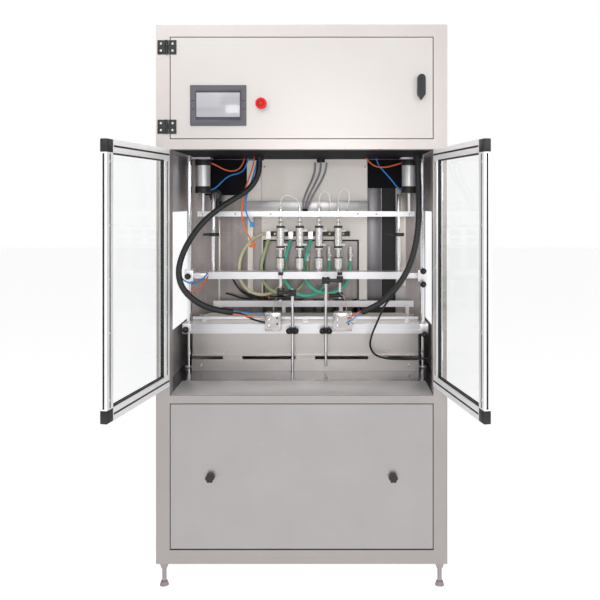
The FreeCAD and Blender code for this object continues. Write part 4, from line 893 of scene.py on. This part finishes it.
@dataclass
class WindowDoor:
    """Gasket, corner blocks, slots and hinges of one window door."""

    side: int
    low: float = 732
    high: float = 1578

    @property
    def name(self) -> str:
        """The door's body."""
        return "left_window" if self.side < 0 else "right_window"

    def span(self, a: float, b: float) -> tuple:
        """A low and high x on this door's side.

        Args:
            a: Distance of one end from the middle.
            b: Distance of the other end.

        Returns:
            The sorted pair.
        """
        return tuple(sorted((self.side * a, self.side * b)))

    def hang(self, piece: bpy.types.Object) -> bpy.types.Object:
        """Turn a piece from the closed door to the rest position.

        Args:
            piece: The piece, modelled on the closed door.

        Returns:
            The same piece.
        """
        fresh()
        pin = mm(self.side * WINDOW_PIN[0], WINDOW_PIN[1], 0)
        turn = Matrix.Rotation(math.radians(self.side * DOOR_OPEN), 4, "Z")
        piece.matrix_world = Matrix.Translation(pin) @ turn @ Matrix.Translation(-pin)
        piece.select_set(True)
        bpy.context.view_layer.objects.active = piece
        bpy.ops.object.transform_apply(location=True, rotation=True, scale=True)
        return piece

    def build(self) -> None:
        """Model the pieces on the closed door and hang them."""
        label = self.name
        seals = [
            block("seal", self.span(42, 46), (-21, -7), (772, 1538)),
            block("seal", self.span(428, 432), (-21, -7), (772, 1538)),
            block("seal", self.span(46, 428), (-21, -7), (772, 776)),
            block("seal", self.span(46, 428), (-21, -7), (1534, 1538)),
        ]
        self.gasket = self.hang(join(label + "_gasket", seals))
        slots = []
        for face in (-25.3, -3.5):
            for a in (22, 452):
                slots.append(block("slot", self.span(a - 3, a + 3), (face, face + 0.8), (776, 1534)))
            for z in (752, 1558):
                slots.append(block("slot", self.span(46, 470), (face, face + 0.8), (z - 3, z + 3)))
        slots.append(block("slot", self.span(1.7, 2.4), (-17, -11), (776, 1534)))
        self.slots = self.hang(join(label + "_slots", slots))
        corners = [block("corner", self.span(1.5, 42), (-25.5, -2.5), z, bevel=2.5)
                   for z in ((self.low, self.low + 40), (self.high - 40, self.high))]
        self.corners = self.hang(join(label + "_corners", corners))
        leaves, posts, heads = [], [], []
        pin = (self.side * WINDOW_PIN[0], WINDOW_PIN[1])
        third = HINGE_TALL / 3
        for low in HINGE_Z:
            middle = (low + third + 0.3, low + 2 * third - 0.3)
            leaves.append(block("leaf", self.span(472, 475), (-23, -5), (low, low + HINGE_TALL), bevel=0.6))
            leaves.append(block("arm", self.span(474, 480), (-17, -11), middle))
            leaves.append(rod("barrel", (*pin, middle[0]), KNUCKLE_RADIUS, middle[1] - middle[0], bevel=0.5))
            posts.append(block("plate", self.span(486, 511), (-4, 0), (low, low + HINGE_TALL), bevel=1))
            for z in ((low, low + third), (low + 2 * third, low + HINGE_TALL)):
                posts.append(block("web", self.span(480, 487), (-14, -2), z))
                posts.append(rod("barrel", (*pin, z[0]), KNUCKLE_RADIUS, z[1] - z[0], bevel=0.5))
            posts.append(rod("pin", (*pin, low), PIN_RADIUS, HINGE_TALL))
            heads += [(self.side * 500, -4, low + 20), (self.side * 500, -4, low + 84)]
        self.leaves = self.hang(join(label + "_leaves", leaves))
        self.posts = join(label + "_post_leaves", posts)
        self.post_screws = screws(label + "_post_screws", heads, 5, 2.4, Axis.Y, -1)
        stile = [(self.side * a, -3, z) for a in (22, 452) for z in (800, 1000, 1160, 1320, 1510)]
        self.stile_screws = self.hang(screws(label + "_stile_screws", stile, 4, 2, Axis.Y, 1))

    def dress(self) -> None:
        """Place the door's pieces."""
        place_all(self.name, (self.gasket, SEAL), (self.slots, SEAL), (self.leaves, ALUMINIUM),
                  (self.stile_screws, SCREW_STEEL))
        place(self.corners, self.name, BLACK_PLASTIC, (self.name + "_fittings",))
        place_all("machine", (self.posts, ALUMINIUM), (self.post_screws, SCREW_STEEL))


@dataclass
class Conveyor:
    """Small pieces of the bottle conveyor."""

    def build(self) -> None:
        """Model the belt's edge line, its joint and the screws."""
        self.edge = block("belt_edge_line", (-412, 412), (434, 439), (BELT_TOP - 0.4, BELT_TOP + 0.25))
        self.joint = block("belt_joint", (120, 123), (433, 559), (BELT_TOP - 0.4, BELT_TOP + 0.2))
        places = [(x, 412, 772) for x in (-340, 340)]
        self.side_screws = screws("conveyor_side_screws", places, 5, 4, Axis.Y, -1)
        places = [(x, 391, 718) for x in (-430, 430)]
        self.beam_screws = screws("conveyor_beam_screws", places, 5, 3, Axis.Y, -1)
        places = [(x, 408, 900) for x in (-420, -200, 0, 200, 420)]
        self.rail_screws = screws("guide_rail_screws", places, 4, 3, Axis.Y, -1)

    def dress(self) -> None:
        """Place the conveyor's small pieces."""
        place_all("machine", (self.edge, BELT_EDGE), (self.joint, BELT_EDGE), (self.side_screws, SCREW_STEEL),
                  (self.beam_screws, SCREW_STEEL), (self.rail_screws, SCREW_STEEL))


@dataclass
class LiftUnit:
    """Clamps, collars and cylinder caps of the head lift."""

    column: tuple = (490, 456)

    def build(self) -> None:
        """Model clamp blocks, knobs, collars, caps and push-in fittings."""
        x0, depth0 = self.column
        blocks, knobs, caps, fittings, collars, rods = [], [], [], [], [], []
        for side in (-1, 1):
            for inner, depth, z in ((474, (391, 478), (846, 888)), (415, (436, 520), (1057, 1105))):
                x = tuple(sorted((side * 470, side * 508)))
                blocks.append(block("clamp", x, depth, z, bevel=3))
                if inner < 470:
                    reach = tuple(sorted((side * inner, side * 471)))
                    blocks.append(block("arm", reach, (446, 518), (1068, 1092), bevel=3))
                slit = tuple(sorted((side * 499, side * 508.3)))
                knobs.append(block("slit", slit, (depth0 - 1, depth0 + 1), (z[0] - 0.2, z[1] + 0.2)))
            blocks.append(rod("foot", (side * x0, depth0, TABLE), 18, 8, bevel=1))
            for z, depth in ((866, 391), (1080, 436)) if side < 0 else ((846, 391), (1102, 436), (1047, 436)):
                knobs.append(ball("knob", (side * x0, depth - 22, z), 13))
                knobs.append(rod("stem", (side * x0, depth - 14, z), 5, 14, Axis.Y))
            caps.append(rod("cap", (side * LIFT_CYLINDER_X, HEAD_DEPTH, 1426.8), 33.5, 30.4, bevel=2, sides=56))
            caps.append(rod("cap", (side * LIFT_CYLINDER_X, HEAD_DEPTH, 1544.8), 33.5, 27.2, bevel=2, sides=56))
            for z in (1442, 1556):
                start = side * 407 - (0 if side > 0 else 4)
                fittings.append(rod("push_in", (start, HEAD_DEPTH, z), 5.5, 4, Axis.X))
            x = side * LIFT_GUIDE_X
            rods.append(rod("guide", (x, HEAD_DEPTH, 1095), 8, 329, bevel=1.5))
            collars.append(rod("collar", (x, HEAD_DEPTH, 1244), 24, 14, bevel=2, sides=48))
            collars.append(block("lever", (x - 45, x), (491, 509), (1246, 1256), bevel=3))
        self.blocks = join("clamp_blocks", blocks)
        self.knobs = join("clamp_knobs", knobs)
        self.caps = join("lift_cylinder_caps", caps)
        self.fittings = join("lift_push_ins", fittings)
        self.rods = join("lift_guide_rods", rods)
        self.collars = join("lift_stop_collars", collars)
        places = [(x, 485, 1339) for x in (-440, -300, -150, 220, 300, 440)]
        self.bar_screws = screws("lift_bar_screws", places, 5, 3, Axis.Y, -1)

    def dress(self) -> None:
        """Place the lift's pieces."""
        place(self.blocks, "machine", ALUMINIUM, ("column_clamps",))
        place_all("machine", (self.knobs, BLACK_PLASTIC), (self.caps, BLACK_PLASTIC),
                  (self.fittings, BLUE_TUBE), (self.collars, BLACK_PLASTIC))
        place(self.rods, "machine", CHROME, ("lift_guides",))
        place(self.bar_screws, "lift_carriage", SCREW_STEEL)


@dataclass
class FillingHeads:
    """Rings, nuts and push-in fittings of the four heads."""

    bar_top: float = 1350

    def build(self) -> None:
        """Model what the plain heads lack."""
        rings, whites, nuts = [], [], []
        for x in HEAD_X:
            rings.append(rod("ring", (x, HEAD_DEPTH, 1193.8), 18.2, 9, bevel=1, sides=48))
            rings.append(rod("ring", (x, HEAD_DEPTH, 1279.2), 18.2, 9, bevel=1, sides=48))
            rings.append(ring("band", (x, HEAD_DEPTH, 1152), 19.8, 1.1))
            nuts.append(rod("nut", (x, HEAD_DEPTH, 1300), 11, 8, sides=6))
            nuts.append(rod("nut", (x, HEAD_DEPTH, 1319), 11, 8.8, sides=6))
            nuts.append(rod("nozzle_nut", (x, HEAD_DEPTH, 1096), 13.5, 9, sides=6, bevel=0.6))
            whites.append(rod("elbow", (x + 14, HEAD_DEPTH - 6, 1268), 5, 16, Axis.X, bevel=1))
            whites.append(rod("elbow", (x + 28, HEAD_DEPTH - 6, 1264), 5, 14, bevel=1))
            whites.append(rod("elbow", (x + 14, HEAD_DEPTH - 6, 1208), 5, 16, Axis.X, bevel=1))
        for route in LOOPS:
            x, depth, z = route[0]
            whites.append(rod("loop_start", (x, depth, z - 16), 6.2, 18, bevel=1))
            x, depth, z = route[-1]
            whites.append(rod("loop_end", (x, depth, self.bar_top - 1), 5, 11, bevel=1))
        self.rings = join("head_rings", rings)
        self.nuts = join("head_nuts", nuts)
        self.whites = join("head_push_ins", whites)
        self.socket = rod("bundle_socket", (-5, 517, self.bar_top - 0.5), 11.5, 12, bevel=1.5)

    def dress(self) -> None:
        """Place the heads' pieces."""
        place_all("lift_carriage", (self.rings, DARK_METAL), (self.nuts, SCREW_STEEL),
                  (self.whites, WHITE_PLASTIC), (self.socket, BLACK_PLASTIC))


@dataclass
class PumpFront:
    """What shows in the pump panel's window."""

    manifold_z: float = 1250

    def build(self) -> None:
        """Model the manifold's cover, its brass plugs and the hose clips."""
        z = self.manifold_z
        self.cover = block("manifold_cover", (-160.5, 190.5), (597.5, 619), (z - 11.5, z + 11.5), bevel=2)
        brass = [rod("plug", (x, 588, z), 6, 10, Axis.Y, bevel=1, sides=6) for x in (-140, -60, 20, 100, 160)]
        self.brass = join("manifold_plugs", brass)
        clips = []
        for x in PUMP_X:
            clips.append(rod("clip", (x, 595, 1131.5), 10.5, 8, bevel=1))
            clips.append(rod("union", (x, 595, 1152), 14, 10, sides=6, bevel=0.8))
        self.clips = join("hose_unions", clips)
        rims = [
            block("rim", (-194, -188), (617, 620), (957, 1223), bevel=1),
            block("rim", (224, 230), (617, 620), (957, 1223), bevel=1),
            block("rim", (-188, 224), (617, 620), (1217, 1223), bevel=1),
        ]
        self.rim = join("pump_window_rim", rims)
        self.gauge = rod("regulator_gauge", (-395, 556, 1417), 20, 5, Axis.Y, bevel=1.5, sides=48)
        self.face = rod("regulator_face", (-395, 555.2, 1417), 16, 1, Axis.Y, sides=48)

    def dress(self) -> None:
        """Place the pieces of the pump front."""
        place_all("machine", (self.cover, DARK_METAL), (self.brass, BRASS), (self.clips, TURNED_STEEL),
                  (self.rim, SEAL), (self.gauge, BLACK_PLASTIC), (self.face, GREY_BEZEL))


@dataclass
class Stoppers:
    """Details of the bottle stops and sensors."""

    bodies: tuple = ((-160, -98), (116, 190))
    sensors: tuple = ((-105, 424, 991), (143, 424, 1000))

    def build(self) -> None:
        """Model end plates, flow controls and sensor tips."""
        plates, controls, unions, tips = [], [], [], []
        for low, high in self.bodies:
            plates.append(block("plate", (low - 1, high + 1), (333, 341), (867, 941), bevel=1.5))
            for z in (892, 916):
                unions.append(rod("union", (low + 16, 310, z), 7, 12, Axis.Y, bevel=1, sides=6))
                unions.append(rod("union", (low + 16, 304, z), 4.5, 7, Axis.Y, bevel=1))
                controls.append(rod("control", (high - 13, 316, z + 6), 3.5, 6, Axis.Y, bevel=0.8))
        for x, depth, z in self.sensors:
            tips.append(rod("tip", (x - 49, depth, z), 7, 4, Axis.X, bevel=1))
            tips.append(rod("lamp", (x - 26, depth, z + 7.5), 2.5, 2, bevel=0.5))
        self.plates = join("stopper_plates", plates)
        self.controls = join("stopper_controls", controls)
        self.unions = join("stopper_unions", unions)
        self.tips = join("sensor_tips", tips)

    def dress(self) -> None:
        """Place the stop and sensor details."""
        place_all("machine", (self.plates, STOP_STEEL), (self.controls, BLACK_PLASTIC),
                  (self.unions, SCREW_STEEL), (self.tips, ORANGE_TUBE))


@dataclass(frozen=True)
class Line:
    """One cord of the machine.

    Attributes:
        name: The cord's name.
        route: Its control points.
        diameter: In millimetres.
        finish: Its finish.
        node: The CAD node it stands for.
        body: The body it rides on.
        far_end: How it ends.
        stiffness: How it bends.
        pieces: Names of separate pieces on it.
    """

    name: str
    route: tuple
    diameter: float
    finish: Finish
    node: str
    body: str = "machine"
    far_end: str = "object"
    stiffness: str = "medium"
    pieces: tuple = ()


@dataclass
class Cords:
    """Every hose, conduit, tube and lead."""

    lines: list = field(default_factory=list)

    def hoses(self) -> list:
        """The four product hoses.

        Returns:
            Their lines.
        """
        made = [Line("product_hose_0", FIRST_HOSE, HOSE_SIZE, YELLOW_HOSE, "product_hoses")]
        top = HOSE_LOOP[0][2]
        for index, (drop, spread) in enumerate(zip(HOSE_DROPS, HOSE_SPREADS), 1):
            route = tuple((PUMP_X[index] + x * spread, depth, top - (top - z) * (drop if z < top else 1))
                          for x, depth, z in HOSE_LOOP)
            finish = OLIVE_HOSE if index == 1 else GREEN_HOSE
            made.append(Line("product_hose_%d" % index, route, HOSE_SIZE, finish, "product_hoses"))
        return made

    def build(self) -> None:
        """List the lines and model the connectors on the two open ones."""
        self.lines = self.hoses()
        self.lines += [
            Line("conduit_left", LEFT_CONDUIT, CONDUIT_SIZE, BLACK_RUBBER, "left_conduit", far_end="bare",
                 stiffness="stiff"),
            Line("conduit_right", RIGHT_CONDUIT, CONDUIT_SIZE, BLACK_RUBBER, "right_conduit", far_end="bare",
                 stiffness="stiff"),
            Line("lead_left", LEFT_LEAD, 8, BLACK_RUBBER, "air_tubes"),
            Line("lead_branch", BRANCH_LEAD, 8, BLACK_RUBBER, "air_tubes"),
            Line("drop_orange", DROP_LINES[0], AIR_SIZE, ORANGE_TUBE, "air_tubes", far_end="connector",
                 pieces=("orange_tee",)),
            Line("drop_blue", DROP_LINES[1], AIR_SIZE, BLUE_TUBE, "air_tubes", far_end="connector",
                 pieces=("blue_connector",)),
        ]
        for index, route in enumerate(CYLINDER_LINES):
            finish = BLUE_TUBE if index % 2 else ORANGE_TUBE
            self.lines.append(Line("cylinder_line_%d" % index, route, AIR_SIZE, finish, "air_tubes"))
        for index, route in enumerate(STOPPER_LINES):
            finish = BLUE_TUBE if index in (0, 3) else ORANGE_TUBE
            self.lines.append(Line("stopper_line_%d" % index, route, SMALL_SIZE, finish, "air_tubes"))
        for index, route in enumerate(LOOPS):
            self.lines.append(Line("head_loop_%d" % index, route, SMALL_SIZE, CLEAR_TUBE, "head_air_loops",
                                   "lift_carriage"))
        for index, route in enumerate(BAR_LINES):
            finish = ORANGE_TUBE if index else BLUE_TUBE
            self.lines.append(Line("bar_line_%d" % index, route, AIR_SIZE, finish, "air_tubes"))
        for index, route in enumerate(FLOOR_CABLES):
            self.lines.append(Line("rear_cable_%d" % index, route, 7, BLACK_RUBBER, "air_tubes",
                                   far_end="bare"))
        for index, route in enumerate(SENSOR_WIRES):
            self.lines.append(Line("sensor_wire_%d" % index, route, 3, BEIGE_WIRE, "air_tubes"))
        self.tee = join("orange_tee", [
            rod("tee", (-226, 480, 1196), 6, 24, bevel=1.5),
            rod("tee", (-240, 480, 1202), 5, 28, Axis.X, bevel=1.5),
        ])
        self.connector = rod("blue_connector", (-226, 454, 1284), 8, 22, bevel=2)
        self.caps = join("conduit_ends", [
            self.tail("end", LEFT_CONDUIT), self.tail("end", RIGHT_CONDUIT)])

    @staticmethod
    def tail(name: str, route) -> bpy.types.Object:
        """A shrink sleeve on a conduit's open end.

        Args:
            name: Its name.
            route: The conduit's control points.

        Returns:
            The sleeve.
        """
        fresh()
        end, before = mm(*route[-1]), mm(*route[-2])
        way = (end - before).normalized()
        bpy.ops.mesh.primitive_cone_add(
            vertices=40, radius1=0.0128, radius2=0.0105, depth=0.022, location=end - way * 0.008,
            rotation=way.to_track_quat("Z", "Y").to_euler())
        return settle(bpy.context.object, name, 1)

    def dress(self) -> None:
        place_all("machine", (self.tee, ORANGE_TUBE), (self.connector, BRIGHT_BLUE), (self.caps, BLACK_RUBBER))
        for line in self.lines:
            piece = spline(line.name, line.route, line.diameter)
            place(piece, line.body, line.finish, (line.node,))
            mm(*line.route[0])
            run_length(line.route)
            line.diameter / 1000
            [bpy.data.objects[p] for p in line.pieces]
        self.bundle()

    def bundle(self) -> None:
        """The head's air bundle: curved tubes between the ceiling and the lift bar."""
        last = len(BUNDLE) - 1
        for index, (across, back) in enumerate(STRANDS):
            route = tuple((x + across * (1 - i / last) ** 0.5 + across * 0.25, depth + back, z)
                          for i, (x, depth, z) in enumerate(BUNDLE))
            piece = spline("air_strand_%d" % index, route, STRAND_SIZE)
            piece.data.bevel_depth = 0.0
            bpy.context.view_layer.update()
            centre = bpy.data.meshes.new_from_object(piece.evaluated_get(bpy.context.evaluated_depsgraph_get()))
            path = [tuple(v.co) for v in centre.vertices]
            bpy.data.meshes.remove(centre)
            piece.data.bevel_depth = STRAND_SIZE / 2000
            fresh()
            piece.select_set(True)
            bpy.context.view_layer.objects.active = piece
            bpy.ops.object.convert(target="MESH")
            piece = bpy.context.object
            piece.data.materials.clear()
            piece.data.materials.append(shade(GREY_CABLE))
            mm(*route[0])
            mm(*route[-1])
            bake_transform(piece)
            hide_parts("head_air_bundle")
            mm(*route[0])
            run_length(route)
            LOG.info("piece %s between machine and lift_carriage", piece.name)


# ---------------------------------------------------------------- studio
@dataclass
class Studio:
    """Camera, light and floor."""

    camera: tuple = (0.102, -2.896, 1.389)
    lens: float = 44.8
    shift: tuple = (-0.05, -0.163)
    resolution: int = 600
    floor_size: float = 40

    def build(self) -> None:
        """Set the camera, the lamps, the world and the floor."""
        fresh()
        bpy.ops.object.camera_add(location=self.camera, rotation=(math.pi / 2, 0, 0))
        camera = bpy.context.object
        camera.data.lens = self.lens
        camera.data.sensor_width = 36
        camera.data.shift_x, camera.data.shift_y = self.shift
        scene = bpy.context.scene
        scene.camera = camera
        scene.render.resolution_x = scene.render.resolution_y = self.resolution
        scene.view_settings.view_transform = "Standard"
        scene.view_settings.look = "None"
        for spot, size, power, aim in (
            ((-1.6, -3.2, 2.9), 2.2, 26, (0, 0, 1.1)),
            ((2.2, -2.8, 2.2), 1.8, 26, (0, 0, 1.2)),
            ((0.0, -1.4, 3.4), 2.4, 22, (0, 0.1, 1.0)),
            ((0.1, -3.1, 1.7), 0.8, 13, (0, 0.2, 1.3)),
        ):
            fresh()
            bpy.ops.object.light_add(type="AREA", location=spot)
            lamp = bpy.context.object
            lamp.data.size = size
            lamp.data.energy = power
            lamp.rotation_euler = (Vector(aim) - Vector(spot)).to_track_quat("-Z", "Y").to_euler()
        fresh()
        bpy.ops.mesh.primitive_plane_add(size=self.floor_size, location=(0, 0, -0.001))
        floor = bpy.context.object
        floor.name = "floor"
        floor.data.materials.append(shade(FLOOR_PAINT))
        self.world()

    def world(self) -> None:
        """A white surround, seen in reflections as a room of light and dark patches."""
        world = bpy.data.worlds.new("surround")
        bpy.context.scene.world = world
        graph = Graph(world)
        way = graph.node("ShaderNodeTexCoord", output="Generated")
        laid = graph.node("ShaderNodeMapping", {"Vector": way, "Scale": (2.6, 2.6, 0.9)})
        room = graph.node("ShaderNodeTexNoise", {"Vector": laid, "Scale": 1.6, "Detail": 2.0})
        patches = (room - ROOM_MIDDLE) * ROOM_CONTRAST
        tone = graph.node("ShaderNodeMix", {"Factor": patches, 6: ROOM_DARK, 7: ROOM_LIGHT}, output=2,
                          data_type="RGBA")
        seen = graph.node("ShaderNodeLightPath", output="Is Camera Ray")
        through = graph.node("ShaderNodeLightPath", output="Is Transmission Ray")
        seen = graph.node("ShaderNodeMath", {0: seen, 1: through}, operation="MAXIMUM")
        colour = graph.node("ShaderNodeMix", {"Factor": seen, 6: tone, 7: (1.0, 1.0, 1.0, 1)}, output=2,
                            data_type="RGBA")
        back = graph.tree.nodes["Background"]
        graph.feed(back.inputs["Color"], colour)
        graph.feed(back.inputs["Strength"], 1.0)


def main() -> None:
    """Build the whole visual model."""
    logging.basicConfig(level=logging.INFO)
    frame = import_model()
    parts = [
        Studio(),
        Cords(),
        Sheets(frame["nodes"]),
        ControlDoor(),
        WindowDoor(-1),
        WindowDoor(1),
        Conveyor(),
        LiftUnit(),
        FillingHeads(),
        PumpFront(),
        Stoppers(),
    ]
    for part in parts:
        part.build()
    for part in parts:
        if hasattr(part, "dress"):
            part.dress()


if __name__ == "__main__":
    main()
